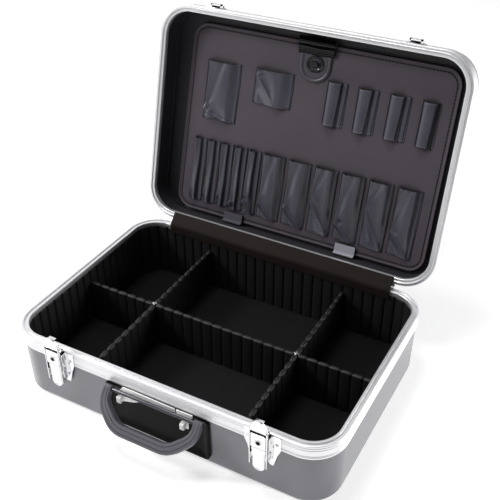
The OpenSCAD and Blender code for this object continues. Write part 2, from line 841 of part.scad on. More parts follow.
base_shell();
base_frame();
base_lining();
floor_pad();
divider_long();
divider_left();
divider_right();
divider_clips();
hinge_base_leaf();
hinge_lid_leaf();
hinge_pin();
hinge_rivets_base();
hinge_rivets_lid();
hinge_cover();
lid_shell();
lid_frame();
lid_lining();
tool_panel();
panel_tabs();
large_pocket();
small_pocket();
tool_loops();
narrow_pockets();
wide_pockets_left();
wide_pockets_right();
panel_flap();
turn_lock_plate();
turn_lock_knob();
keeper_left();
keeper_right();
latch_plate_left();
latch_plate_right();
lock_body_left();
lock_body_right();
lock_cylinder_left();
lock_cylinder_right();
latch_lever_left();
latch_lever_right();
latch_hook_left();
latch_hook_right();
lever_pins();
hook_pin_left();
hook_pin_right();
latch_rivets();
handle_plate();
handle_bracket();
handle_rod();
handle();
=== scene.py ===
# Hard tool case, shown open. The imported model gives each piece's place and size.
# This script dresses it: smooth moulded shells, grooved frames, ribbed lining, soft pockets, bright latches.
import json
import math

import bmesh
import bpy
import numpy as np
from mathutils import Matrix, Vector


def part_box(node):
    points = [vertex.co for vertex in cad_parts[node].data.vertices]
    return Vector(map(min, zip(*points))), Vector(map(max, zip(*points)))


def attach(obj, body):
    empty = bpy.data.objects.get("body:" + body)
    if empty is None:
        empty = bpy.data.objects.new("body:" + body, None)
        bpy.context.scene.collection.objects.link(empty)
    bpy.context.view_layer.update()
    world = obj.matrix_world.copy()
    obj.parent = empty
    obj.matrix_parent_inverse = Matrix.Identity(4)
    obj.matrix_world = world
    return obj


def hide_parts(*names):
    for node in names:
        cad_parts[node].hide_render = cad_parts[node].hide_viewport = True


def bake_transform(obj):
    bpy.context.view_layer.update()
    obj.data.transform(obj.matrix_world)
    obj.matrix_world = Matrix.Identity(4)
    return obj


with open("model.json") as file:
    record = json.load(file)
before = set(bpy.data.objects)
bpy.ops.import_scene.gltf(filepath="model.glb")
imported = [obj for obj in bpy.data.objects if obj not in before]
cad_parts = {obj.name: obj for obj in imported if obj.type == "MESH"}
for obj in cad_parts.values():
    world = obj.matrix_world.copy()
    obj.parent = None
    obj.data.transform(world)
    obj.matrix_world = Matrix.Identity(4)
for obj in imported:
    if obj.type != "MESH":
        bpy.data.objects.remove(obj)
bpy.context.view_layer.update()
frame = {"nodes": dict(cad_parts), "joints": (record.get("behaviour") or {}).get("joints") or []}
nodes = frame["nodes"]

MM = 0.001
WELD = 0.00001

# ---------------------------------------------------------------- helpers


def linear(hex_colour):
    """An sRGB hex colour as linear RGBA."""
    value = [int(hex_colour[i:i + 2], 16) / 255 for i in (1, 3, 5)]
    return [c / 12.92 if c <= 0.04045 else ((c + 0.055) / 1.055) ** 2.4 for c in value] + [1]


def add_node(tree, kind, settings=None, links=None):
    """A node with its properties, its socket values and what feeds its sockets."""
    made = tree.nodes.new(kind)
    for name, value in (settings or {}).items():
        if isinstance(name, str) and hasattr(made, name):
            setattr(made, name, value)
        else:
            made.inputs[name].default_value = value
    for name, source in (links or {}).items():
        tree.links.new(source, made.inputs[name])
    return made


def new_material(name):
    made = bpy.data.materials.new(name)
    made.use_nodes = True
    made.node_tree.nodes.clear()
    return made, made.node_tree


def close_material(tree, shader):
    add_node(tree, "ShaderNodeOutputMaterial", links={"Surface": shader.outputs[0]})


def surface_bump(tree, height, strength, depth):
    return add_node(tree, "ShaderNodeBump", {"Strength": strength, "Distance": depth}, {"Height": height})


def mixed_colour(tree, factor, low, high):
    """A colour that runs from low to high as factor goes from 0 to 1."""
    ramp = add_node(tree, "ShaderNodeValToRGB", links={"Fac": factor})
    ramp.color_ramp.elements[0].color = linear(low)
    ramp.color_ramp.elements[1].color = linear(high)
    return ramp.outputs["Color"]


def mesh_object(name, verts, faces, smooth=True):
    data = bpy.data.meshes.new(name)
    data.from_pydata([tuple(v) for v in verts], [], faces)
    data.update()
    made = bpy.data.objects.new(name, data)
    bpy.context.scene.collection.objects.link(made)
    if smooth:
        data.polygons.foreach_set("use_smooth", [True] * len(data.polygons))
    return made


def apply_modifiers(piece):
    graph = bpy.context.evaluated_depsgraph_get()
    data = bpy.data.meshes.new_from_object(piece.evaluated_get(graph))
    piece.modifiers.clear()
    piece.data = data


def sharpen(piece, degrees=32):
    """Smooth shading with hard edges where faces meet at more than this angle."""
    data = piece.data
    data.polygons.foreach_set("use_smooth", [True] * len(data.polygons))
    shaped = bmesh.new()
    shaped.from_mesh(data)
    for edge in shaped.edges:
        if len(edge.link_faces) == 2:
            edge.smooth = edge.calc_face_angle() < math.radians(degrees)
    shaped.to_mesh(data)
    shaped.free()


def soften(piece, width, degrees=30):
    """Rounds the edges where faces meet at more than this angle."""
    cut = piece.modifiers.new("edges", "BEVEL")
    cut.width = width
    cut.segments = 2
    cut.limit_method = "ANGLE"
    cut.angle_limit = math.radians(degrees)
    apply_modifiers(piece)


def cad_copy(node, material, bevel=0.0, degrees=32):
    """The CAD solid's own shape, merged, with smooth shading and softened edges."""
    piece = bpy.data.objects.new(node + "_piece", nodes[node].data.copy())
    bpy.context.scene.collection.objects.link(piece)
    shaped = bmesh.new()
    shaped.from_mesh(piece.data)
    bmesh.ops.remove_doubles(shaped, verts=shaped.verts, dist=WELD)
    bmesh.ops.dissolve_limit(shaped, angle_limit=math.radians(0.5), verts=shaped.verts, edges=shaped.edges)
    shaped.to_mesh(piece.data)
    shaped.free()
    if "custom_normal" in piece.data.attributes:
        piece.data.attributes.remove(piece.data.attributes["custom_normal"])
    if bevel:
        soften(piece, bevel, 35)
    sharpen(piece, degrees)
    piece.data.materials.clear()
    piece.data.materials.append(material)
    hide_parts(node)
    return piece


# ---------------------------------------------------------------- materials


def moulded_abs():
    """Black-grey ABS, injection moulded with a fine grain: a soft, wide reflection."""
    made, tree = new_material("shell_abs")
    where = add_node(tree, "ShaderNodeTexCoord").outputs["Object"]
    grain = add_node(tree, "ShaderNodeTexNoise", {"Scale": 900, "Detail": 3}, {"Vector": where})
    cloud = add_node(tree, "ShaderNodeTexNoise", {"Scale": 9, "Detail": 2}, {"Vector": where})
    colour = mixed_colour(tree, cloud.outputs["Fac"], "#46464f", "#54545e")
    bump = surface_bump(tree, grain.outputs["Fac"], 0.12, 0.0004)
    shader = add_node(tree, "ShaderNodeBsdfPrincipled",
                      {"Roughness": 0.3, "IOR": 1.6, "Coat Weight": 0.6, "Coat Roughness": 0.2,
                       "Coat IOR": 1.6},
                      {"Base Color": colour, "Normal": bump.outputs[0]})
    close_material(tree, shader)
    return made


def drawn_aluminium(name="frame_aluminium", tint="#e4e4e6", roughness=0.36, metal=0.7):
    """Extruded, satin anodised aluminium: bright, with very fine lines along the bar."""
    made, tree = new_material(name)
    where = add_node(tree, "ShaderNodeTexCoord").outputs["Object"]
    fine = add_node(tree, "ShaderNodeTexNoise", {"Scale": 700, "Detail": 2}, {"Vector": where})
    bump = surface_bump(tree, fine.outputs["Fac"], 0.05, 0.0002)
    shader = add_node(tree, "ShaderNodeBsdfPrincipled",
                      {"Base Color": linear(tint), "Metallic": metal, "Roughness": roughness},
                      {"Normal": bump.outputs[0]})
    close_material(tree, shader)
    return made


def bright_plate(name="latch_chrome", tint="#e4e4e6", roughness=0.16):
    """Nickel-chrome plating on stamped steel: a clear mirror with faint ripples of the sheet."""
    made, tree = new_material(name)
    where = add_node(tree, "ShaderNodeTexCoord").outputs["Object"]
    ripple = add_node(tree, "ShaderNodeTexNoise", {"Scale": 60, "Detail": 2}, {"Vector": where})
    bump = surface_bump(tree, ripple.outputs["Fac"], 0.06, 0.001)
    shader = add_node(tree, "ShaderNodeBsdfPrincipled",
                      {"Base Color": linear(tint), "Metallic": 1, "Roughness": roughness},
                      {"Normal": bump.outputs[0]})
    close_material(tree, shader)
    return made


def crease_light_and_shade(tree, colour, pale, dark):
    """Paints light on vinyl: a painted highlight along its sharp creases and painted shade deep between them.
    """
    # painted highlight: paler along the sharpest ridges
    ridge = add_node(tree, "ShaderNodeNewGeometry").outputs["Pointiness"]
    sharp = add_node(tree, "ShaderNodeMapRange", {"From Min": 0.515, "From Max": 0.6}, {"Value": ridge})
    crest_highlight = add_node(tree, "ShaderNodeMix", {"data_type": "RGBA", 7: linear(pale)},
                    {0: sharp.outputs["Result"], 6: colour})
    # painted shade: darker where nearby surfaces close the spot in
    open_air = add_node(tree, "ShaderNodeAmbientOcclusion", {"samples": 8, "Distance": 0.02})
    shade = add_node(tree, "ShaderNodeMapRange", {"From Min": 0.35, "From Max": 0.92},
                     {"Value": open_air.outputs["AO"]})
    return add_node(tree, "ShaderNodeMix", {"data_type": "RGBA", 6: linear(dark)},
                    {0: shade.outputs["Result"], 7: crest_highlight.outputs[2]}).outputs[2]


def soft_vinyl(name, low, high, roughness=0.42, grain=700, depth=0.00025, shine=0.5, crease=None):
    """Calendered PVC sheet with a pressed leather grain: dull colour and a soft shine, and, where crease
    colours are given, a painted highlight on each crease and painted shade between them.
    """
    made, tree = new_material(name)
    where = add_node(tree, "ShaderNodeTexCoord").outputs["Object"]
    cells = add_node(tree, "ShaderNodeTexVoronoi", {"Scale": grain, "feature": "SMOOTH_F1"},
                     {"Vector": where})
    cloud = add_node(tree, "ShaderNodeTexNoise", {"Scale": 22, "Detail": 4}, {"Vector": where})
    colour = mixed_colour(tree, cloud.outputs["Fac"], low, high)
    # painted highlight on the crests and painted shade in the hollows
    if crease:
        colour = crease_light_and_shade(tree, colour, *crease)
    bump = surface_bump(tree, cells.outputs["Distance"], 0.25, depth)
    shader = add_node(tree, "ShaderNodeBsdfPrincipled", {"Roughness": roughness, "Specular IOR Level": shine},
                      {"Base Color": colour, "Normal": bump.outputs[0]})
    close_material(tree, shader)
    return made


def plain_plastic(name, low, high, roughness, shine=0.5):
    """Moulded plastic with a faint spark-eroded grain."""
    made, tree = new_material(name)
    where = add_node(tree, "ShaderNodeTexCoord").outputs["Object"]
    grain = add_node(tree, "ShaderNodeTexNoise", {"Scale": 1200, "Detail": 2}, {"Vector": where})
    cloud = add_node(tree, "ShaderNodeTexNoise", {"Scale": 30, "Detail": 2}, {"Vector": where})
    colour = mixed_colour(tree, cloud.outputs["Fac"], low, high)
    bump = surface_bump(tree, grain.outputs["Fac"], 0.15, 0.0003)
    shader = add_node(tree, "ShaderNodeBsdfPrincipled", {"Roughness": roughness, "Specular IOR Level": shine},
                      {"Base Color": colour, "Normal": bump.outputs[0]})
    close_material(tree, shader)
    return made


ABS = moulded_abs()
ALUMINIUM = drawn_aluminium()
CHROME = bright_plate()
STEEL = drawn_aluminium("hinge_steel", "#b9b9bb", 0.3)
RIVET = drawn_aluminium("rivet_aluminium", "#d4d4d4", 0.3)
DARK_STEEL = drawn_aluminium("rod_steel", "#4c4b50", 0.3)
HANGER = drawn_aluminium("hanger_nickel", "#fdfdfd", 0.4, 0.1)
LINING = soft_vinyl("black_lining", "#131213", "#1b1a1c", 0.5, shine=0.4)
LID_LINING = soft_vinyl("lid_lining", "#262428", "#2f2d32", 0.5, shine=0.4)
FOAM = plain_plastic("floor_foam", "#0e0d0f", "#141315", 0.8, 0.15)
DIVIDER = plain_plastic("divider_plastic", "#0f0e10", "#161517", 0.5, 0.35)
# the crease colours of the panel and the pockets are a painted highlight and a painted shade
PANEL = soft_vinyl("panel_vinyl", "#494349", "#514b52", 0.6, 600, shine=0.2, crease=("#5d575f", "#141216"))
POCKET = soft_vinyl("pocket_vinyl", "#3f3e49", "#494854", 0.3, 500, 0.00015, 0.6, ("#5f5e69", "#08070a"))
# the mouth edges are real bound welts, coloured darker than the pockets as painted shade along the mouths
MOUTH = soft_vinyl("pocket_edge", "#2a2930", "#33323a", 0.4, 500, 0.00015, 0.4)
FLAP = soft_vinyl("flap_vinyl", "#040405", "#070608", 0.16, shine=0.3)
TONGUE = soft_vinyl("tongue_vinyl", "#37343a", "#403d43", 0.42)
STRIP = soft_vinyl("hinge_strip", "#1d1917", "#272220", 0.65, shine=0.08)
TAPE = soft_vinyl("panel_tape", "#8f8e98", "#9d9ca6", 0.6, shine=0.3)
TAPE_DARK = soft_vinyl("panel_tape_dark", "#454349", "#504e55", 0.6, shine=0.2)
DARK_CORE = plain_plastic("lock_core", "#1c1b1d", "#28272a", 0.3)
# black stand-ins for shade: painted shade in the latch gaps, the keeper gaps and the key slots
SHADE_BLACK = plain_plastic("painted_shade_black", "#030303", "#060606", 0.9, 0.05)
THREAD = plain_plastic("black_thread", "#0c0b0e", "#131216", 0.7, 0.2)
KNOB = plain_plastic("lock_knob", "#1d1d20", "#28282c", 0.2)
HANDLE_GREY = plain_plastic("handle_grey", "#545359", "#605f66", 0.42)
HANDLE_BLACK = plain_plastic("handle_black", "#020202", "#040404", 0.3, 0.06)

FINISH = {
    "base_shell": ABS, "lid_shell": ABS, "base_frame": ALUMINIUM, "lid_frame": ALUMINIUM,
    "base_lining": LINING, "floor_pad": FOAM, "lid_lining": LID_LINING, "hinge_cover": STRIP,
    "divider_long": DIVIDER, "divider_left": DIVIDER, "divider_right": DIVIDER, "divider_clips": STEEL,
    "hinge_base_leaf": STEEL, "hinge_lid_leaf": STEEL, "hinge_pin": STEEL,
    "hinge_rivets_base": RIVET, "hinge_rivets_lid": RIVET, "latch_rivets": RIVET,
    "tool_panel": PANEL, "panel_tabs": TAPE, "large_pocket": POCKET, "small_pocket": POCKET,
    "tool_loops": POCKET, "narrow_pockets": POCKET, "wide_pockets_left": POCKET,
    "wide_pockets_right": POCKET, "panel_flap": FLAP, "turn_lock_plate": KNOB, "turn_lock_knob": KNOB,
    "handle_plate": HANDLE_BLACK, "handle_bracket": CHROME, "handle_rod": DARK_STEEL, "handle": HANDLE_GREY,
    "lever_pins": STEEL,
}
for name, node in nodes.items():
    node.data.materials.clear()
    node.data.materials.append(FINISH.get(name, CHROME))

# ---------------------------------------------------------------- places

hinge = next(j for j in frame["joints"] if j["name"] == "lid_hinge")
OPEN = math.radians(hinge["range_deg"][1])
AXIS = Vector(hinge["pos_m"])
LID = Matrix.Translation(AXIS) @ Matrix.Rotation(-OPEN, 4, "X") @ Matrix.Translation(-AXIS)
PANEL_TILT = math.radians(1.6)
TILTED = LID @ Matrix.Rotation(-PANEL_TILT, 4, "X")


def box_in(turn, *names):
    """The lowest and highest corner of CAD nodes, in a turned frame."""
    back = np.array(turn.inverted())
    points = []
    for name in names:
        local = np.array([v.co for v in nodes[name].data.vertices])
        points.append(local @ back[:3, :3].T + back[:3, 3])
    points = np.concatenate(points)
    return Vector(points.min(0)), Vector(points.max(0))


panel_low, panel_high = box_in(TILTED, "tool_panel")
BEAD = 1 * MM
PANEL_W, PANEL_H = panel_high.x - panel_low.x, panel_high.y - panel_low.y
# the panel's own frame: x to the right, y up the panel, z out of its face towards the viewer
ON_PANEL = (TILTED @ Matrix.Translation(((panel_low.x + panel_high.x) / 2, (panel_low.y + panel_high.y) / 2,
                                         panel_low.z + BEAD)) @ Matrix.Rotation(math.pi, 4, "X"))


def moved(piece, turn):
    """Puts a piece made in a local frame into the row frame, with its place in its mesh."""
    piece.data.transform(turn)
    if turn.determinant() < 0:
        piece.data.flip_normals()
    piece.data.update()
    return piece


def join(name, pieces):
    """One mesh object out of several, keeping each one's material."""
    whole = bmesh.new()
    materials = []
    for piece in pieces:
        for item in piece.data.materials:
            if item not in materials:
                materials.append(item)
        start = len(whole.faces)
        whole.from_mesh(piece.data)
        whole.faces.ensure_lookup_table()
        own = list(piece.data.materials)
        for face in whole.faces[start:]:
            face.material_index = materials.index(own[face.material_index]) if own else 0
    data = bpy.data.meshes.new(name)
    whole.to_mesh(data)
    whole.free()
    for item in materials:
        data.materials.append(item)
    made = bpy.data.objects.new(name, data)
    bpy.context.scene.collection.objects.link(made)
    for piece in pieces:
        bpy.data.objects.remove(piece)
    return made


def outward(piece):
    """Turns every face of a closed mesh to the outside."""
    shaped = bmesh.new()
    shaped.from_mesh(piece.data)
    bmesh.ops.recalc_face_normals(shaped, faces=shaped.faces)
    shaped.to_mesh(piece.data)
    shaped.free()


def bands(rings, count, wrap=False):
    """The faces between rings of count points, and from the last ring back to the first where they wrap."""
    faces = []
    for r in range(rings if wrap else rings - 1):
        after = (r + 1) % rings
        for i in range(count):
            j = (i + 1) % count
            faces.append((r * count + i, r * count + j, after * count + j, after * count + i))
    return faces


def tube(name, rings, material, degrees=40):
    """A closed body through rings of points, with a face over each end."""
    count = len(rings[0])
    verts = [point for ring in rings for point in ring]
    faces = bands(len(rings), count)
    faces.append(tuple(reversed(range(count))))
    faces.append(tuple(range((len(rings) - 1) * count, len(rings) * count)))
    made = mesh_object(name, verts, faces)
    made.data.materials.append(material)
    outward(made)
    sharpen(made, degrees)
    return made


def bar(name, across, up, depths, material):
    """A square-cornered bar: its two places along x, its two heights, and its back and front."""
    corners = [(across[0], up[0]), (across[1], up[0]), (across[1], up[1]), (across[0], up[1])]
    return tube(name, [[(x, y, z) for x, z in corners] for y in depths], material, 30)


def outline(width, height, radius, corner_points=10):
    """A rounded rectangle about the origin, as points in order."""
    points = []
    for cx, cy, start in ((1, 1, 0), (-1, 1, 90), (-1, -1, 180), (1, -1, 270)):
        for i in range(corner_points + 1):
            a = math.radians(start + 90 * i / corner_points)
            points.append((cx * (width / 2 - radius) + radius * math.cos(a),
                           cy * (height / 2 - radius) + radius * math.sin(a)))
    return points


def swept_ring(name, width, depth, radius, profile, material, corner_points=14):
    """A closed profile (inset from the outer line, height) carried round a rounded rectangle."""
    verts = []
    rings = len(profile)
    for inset, high in profile:
        ring = outline(width - 2 * inset, depth - 2 * inset, radius - inset, corner_points)
        verts += [(x, y, high) for x, y in ring]
    made = mesh_object(name, verts, bands(rings, len(verts) // rings, wrap=True))
    made.data.materials.append(material)
    outward(made)
    sharpen(made, 24)
    return made


# ---------------------------------------------------------------- stitches (Geometry Nodes)


def stitch_tree():
    """Stitches of one length, at one pitch, along a curve."""
    made = bpy.data.node_groups.new("stitches", "GeometryNodeTree")
    for name, kind in (("Geometry", "NodeSocketGeometry"), ("Pitch", "NodeSocketFloat"),
                       ("Length", "NodeSocketFloat"), ("Radius", "NodeSocketFloat"),
                       ("Thread", "NodeSocketMaterial")):
        made.interface.new_socket(name, in_out="INPUT", socket_type=kind)
    made.interface.new_socket("Geometry", in_out="OUTPUT", socket_type="NodeSocketGeometry")
    given = add_node(made, "NodeGroupInput")
    spaced = add_node(made, "GeometryNodeCurveToPoints", {"mode": "LENGTH"},
                      {"Curve": given.outputs["Geometry"], "Length": given.outputs["Pitch"]})
    thread = add_node(made, "GeometryNodeMeshCylinder", {"Vertices": 6},
                      {"Radius": given.outputs["Radius"], "Depth": given.outputs["Length"]})
    along = add_node(made, "FunctionNodeAlignRotationToVector", {"axis": "Z"},
                     {"Vector": spaced.outputs["Tangent"]})
    placed = add_node(made, "GeometryNodeInstanceOnPoints",
                      links={"Points": spaced.outputs["Points"], "Instance": thread.outputs["Mesh"],
                             "Rotation": along.outputs["Rotation"]})
    real = add_node(made, "GeometryNodeRealizeInstances", links={"Geometry": placed.outputs["Instances"]})
    dressed = add_node(made, "GeometryNodeSetMaterial",
                       links={"Geometry": real.outputs["Geometry"], "Material": given.outputs["Thread"]})
    add_node(made, "NodeGroupOutput", links={"Geometry": dressed.outputs["Geometry"]})
    return made


STITCHES = stitch_tree()


def sewn(name, lines, thread, pitch=3.6 * MM, length=2.6 * MM, radius=0.3 * MM):
    """Stitches along open lines of points, all in one mesh."""
    curve = bpy.data.curves.new(name, "CURVE")
    curve.dimensions = "3D"
    for points in lines:
        spline = curve.splines.new("POLY")
        spline.points.add(len(points) - 1)
        for point, place in zip(spline.points, points):
            point.co = (*place, 1)
    made = bpy.data.objects.new(name + "_line", curve)
    bpy.context.scene.collection.objects.link(made)
    run = made.modifiers.new("stitches", "NODES")
    run.node_group = STITCHES
    sockets = {item.name: item.identifier for item in STITCHES.interface.items_tree if item.in_out == "INPUT"}
    run[sockets["Pitch"]] = pitch
    run[sockets["Length"]] = length
    run[sockets["Radius"]] = radius
    run[sockets["Thread"]] = thread
    graph = bpy.context.evaluated_depsgraph_get()
    data = bpy.data.meshes.new_from_object(made.evaluated_get(graph))
    bpy.data.objects.remove(made)
    done = bpy.data.objects.new(name, data)
    bpy.context.scene.collection.objects.link(done)
    return done


# ---------------------------------------------------------------- shells and frames

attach(cad_copy("base_shell", ABS, degrees=25), "case")
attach(cad_copy("lid_shell", ABS, degrees=25), "lid")
frame_low, frame_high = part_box("base_frame")
CASE_W, CASE_D, RIM = frame_high.x - frame_low.x, frame_high.y - frame_low.y, frame_high.z
CORNER_R = 46 * MM
FRAME_H = frame_high.z - frame_low.z
SEAM = 0.6 * MM


def frame_profile(side):
    """The extrusion's section as (inset, height) in metres, for the base (side -1) or the lid (side 1)."""
    def line_at(height):
        return [(0, height + 0.45), (0.4, height), (0, height - 0.45)]

    edge = [(0, FRAME_H / MM), *line_at(17.4), *line_at(15.6), *line_at(6.6), *line_at(3.2),
            (0, 1.3), (0.2, 0.6), (0.6, 0.2), (1.3, 0)]
    inner = [(8.7, 0), (9.4, 0.2), (9.8, 0.6), (10, 1.3), (10, 6.5), (9.8, 7), (8.8, 7), (8.6, 6.7),
             (8.6, 3.6), (1.4, 3.6), (1.4, FRAME_H / MM)]
    groove = [(2.9, 0), (3, 0.1), (3.1, 2.2), (6.1, 2.2), (6.2, 0.1), (6.3, 0)]
    tongue = [(3.6, 0), (3.8, -0.2), (3.9, -1.6), (4.1, -1.8), (5.1, -1.8), (5.3, -1.6), (5.4, -0.2),
              (5.6, 0)]
    middle = tongue if side > 0 else groove
    return [(inset * MM, side * high * MM) for inset, high in edge + middle + inner]


base_frame = swept_ring("base_rim", CASE_W, CASE_D, CORNER_R, frame_profile(-1), ALUMINIUM, 20)
moved(base_frame, Matrix.Translation((0, 0, RIM)))
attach(base_frame, "case")
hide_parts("base_frame")
lid_frame = swept_ring("lid_rim", CASE_W, CASE_D, CORNER_R, frame_profile(1), ALUMINIUM, 20)
moved(lid_frame, LID @ Matrix.Translation((0, 0, RIM + SEAM)))
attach(lid_frame, "lid")
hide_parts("lid_frame")
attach(cad_copy("lid_lining", LID_LINING, degrees=40), "lid")

# ---------------------------------------------------------------- ribbed lining, dividers and floor

RIB = 15.6 * MM
lining_low, lining_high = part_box("base_lining")
LINING_T = 4.6 * MM


def rib_depth(distance):
    """How far the surface is cut in at a distance from a groove: a pillow between sharp grooves."""
    pillow = 0.7 * MM * (1 - np.clip(distance / (RIB / 2), 0, 1)) ** 2
    return pillow + 1.6 * MM * np.exp(-(distance / (0.95 * MM)) ** 2)


def base_lining():
    """Foam board covered in vinyl, pressed in ribs, that lines the base all round."""
    width, depth = lining_high.x - lining_low.x, lining_high.y - lining_low.y
    radius = 40.2 * MM
    fine = outline(width - 2 * LINING_T, depth - 2 * LINING_T, radius - LINING_T, 40)
    places, normals = [], []
    for i, start in enumerate(fine):
        end = fine[(i + 1) % len(fine)]
        gap = math.dist(start, end)
        steps = max(1, round(gap / (1.3 * MM)))
        for k in range(steps):
            places.append([start[j] + (end[j] - start[j]) * k / steps for j in (0, 1)])
            normals.append([(end[1] - start[1]) / gap, (start[0] - end[0]) / gap])
    places, normals = np.array(places), np.array(normals)
    run = np.concatenate([[0], np.cumsum(np.linalg.norm(np.diff(places, axis=0), axis=1))])
    length = run[-1] + np.linalg.norm(places[0] - places[-1])
    # grooves stand at even steps from the middle of each side, and the corners share what is left
    middles = [run[np.argmin(np.linalg.norm(places - np.array(side), axis=1))]
               for side in ((0, depth / 2 - LINING_T), (-width / 2 + LINING_T, 0),
                            (0, -depth / 2 + LINING_T), (width / 2 - LINING_T, 0))]
    grooves = []
    for k, middle in enumerate(middles):
        count, after_count = (11, 6) if k % 2 == 0 else (6, 11)
        grooves += [middle + i * RIB for i in range(-count, count + 1)]
        first = middle + count * RIB
        last = middles[(k + 1) % 4] - after_count * RIB
        if last < first:
            last += length
        pieces = round((last - first) / RIB)
        grooves += [first + (last - first) * i / pieces for i in range(1, pieces)]
    away = np.abs((run[:, None] - np.array(grooves)[None, :] + length / 2) % length - length / 2).min(1)
    cut = rib_depth(away)
    low, high = lining_low.z, lining_high.z
    rounding = 2 * MM
    verts = []
    section = [(LINING_T, low, 0), (0, low, 1), (0, high - rounding, 1)]
    section += [(rounding * (1 - math.cos(a)), high - rounding * (1 - math.sin(a)), 1 - a / 2)
                for a in (0.5, 1, 1.5)]
    section += [(LINING_T, high, 0)]
    for outwards, z, share in section:
        spot = places + normals * (outwards + cut * share)[:, None]
        verts += [(x, y, z) for x, y in spot]
    made = mesh_object("ribbed_lining", verts, bands(len(section), len(places), wrap=True))
    made.data.materials.append(LINING)
    outward(made)
    sharpen(made, 50)
    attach(made, "case")
    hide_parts("base_lining")


base_lining()


def divider(node, slots, slot_from_top):
    """A double wall of ribbed board, with a soft bead along its top that dips at every groove."""
    low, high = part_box(node)
    along_x = high.x - low.x > high.y - low.y
    half_run = (high.x - low.x) / 2 if along_x else (high.y - low.y) / 2
    half_t = (high.y - low.y) / 2 if along_x else (high.x - low.x) / 2
    middle = (low + high) / 2
    steps = round(2 * half_run / (1.2 * MM))
    runs = list(np.linspace(-half_run, half_run, steps))
    slot_half = half_t + 0.3 * MM
    for slot in slots:
        runs = [r for r in runs if abs(abs(r - slot) - slot_half) > 0.5 * MM]
        runs += [slot + side * (slot_half + nudge) for side in (-1, 1) for nudge in (-WELD, WELD)]
    rings = []
    for r in sorted(runs):
        away = abs((r + RIB / 2) % RIB - RIB / 2)
        groove = 1.1 * MM * math.exp(-(away / (1.3 * MM)) ** 2)
        narrow = groove + 0.7 * MM * (1 - min(1, away / (RIB / 2))) ** 2
        if abs(abs(r) - half_run) < 1.2 * MM:
            narrow = half_t - 1.3 * MM
        wide = half_t - narrow
        bottom, top = low.z, high.z - 0.8 * narrow
        if any(abs(r - slot) < slot_half for slot in slots):
            if slot_from_top:
                top = (low.z + high.z) / 2
            else:
                bottom = (low.z + high.z) / 2 + 0.5 * MM
        bead = min(wide, 2.6 * MM)
        half = [(-wide, bottom), (-wide, top - bead)]
        half += [(-wide + bead * (1 - math.cos(a)), top - bead + bead * math.sin(a)) for a in (0.4, 0.8, 1.2)]
        half += [(-wide + bead, top)]
        section = half + [(0, top)] + [(-w, z) for w, z in reversed(half)]
        if along_x:
            place = [(middle.x + r, middle.y + w, z) for w, z in section]
        else:
            place = [(middle.x + w, middle.y + r, z) for w, z in section]
        rings.append(place)
    made = tube(node + "_ribbed", rings, DIVIDER, 45)
    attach(made, "case")
    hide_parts(node)


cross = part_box("divider_right")
CROSS_X = (cross[0].x + cross[1].x) / 2
divider("divider_long", (-CROSS_X, CROSS_X), True)
divider("divider_left", (0,), False)
divider("divider_right", (0,), False)
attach(cad_copy("floor_pad", FOAM, bevel=0.9 * MM), "case")
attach(cad_copy("divider_clips", STEEL, bevel=0.25 * MM), "case")

# ---------------------------------------------------------------- tool panel


def panel_board():
    """The board wrapped in vinyl: a softly rounded edge with a raised welt round it."""
    corner = 24 * MM
    thick = panel_high.z - panel_low.z - BEAD
    edge = [(0, -thick), (0, -0.4 * MM), (0.4 * MM, 0.5 * MM), (1.3 * MM, 1 * MM), (2.3 * MM, 0.9 * MM),
            (3 * MM, 0.3 * MM), (3.5 * MM, 0), (5.5 * MM, -0.1 * MM), (8 * MM, 0.05 * MM)]
    verts = []
    for inset, high in edge:
        verts += [(x, y, high) for x, y in outline(PANEL_W - 2 * inset, PANEL_H - 2 * inset, corner - inset)]
    count = len(verts) // len(edge)
    faces = bands(len(edge), count)
    faces.append(tuple(range((len(edge) - 1) * count, len(edge) * count)))
    faces.append(tuple(reversed(range(count))))
    made = mesh_object("panel_board", verts, faces)
    sharpen(made, 50)
    made.data.materials.append(PANEL)
    return made


board = panel_board()
SEAM_IN = 13 * MM
seam = [(x, y, 0.15 * MM) for x, y in outline(PANEL_W - SEAM_IN, PANEL_H - SEAM_IN, 18 * MM)]
seams = sewn("panel_seam", [seam + seam[:1]], THREAD, pitch=5 * MM, length=3.3 * MM, radius=0.62 * MM)
panel = moved(join("panel", [board, seams]), ON_PANEL)
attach(panel, "lid")
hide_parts("tool_panel")

# ---------------------------------------------------------------- pockets


def rise(x):
    """0 at 0, 1 at 1, smooth at both ends."""
    x = np.clip(x, 0, 1)
    return x * x * (3 - 2 * x)


VINYL_T = 0.9 * MM


def sheet_mesh(name, x, y, z, material, thick=VINYL_T):
    """A grid of points as a sheet of vinyl with a thickness."""
    rows, cols = z.shape
    verts = np.stack([x.ravel(), y.ravel(), z.ravel()], 1)
    faces = [(r * cols + c, r * cols + c + 1, (r + 1) * cols + c + 1, (r + 1) * cols + c)
             for r in range(rows - 1) for c in range(cols - 1)]
    made = mesh_object(name, verts, faces)
    made.data.materials.append(material)
    wall = made.modifiers.new("thickness", "SOLIDIFY")
    wall.thickness = thick
    wall.offset = -1
    apply_modifiers(made)
    made.data.polygons.foreach_set("use_smooth", [True] * len(made.data.polygons))
    sharpen(made, 60)
    return made


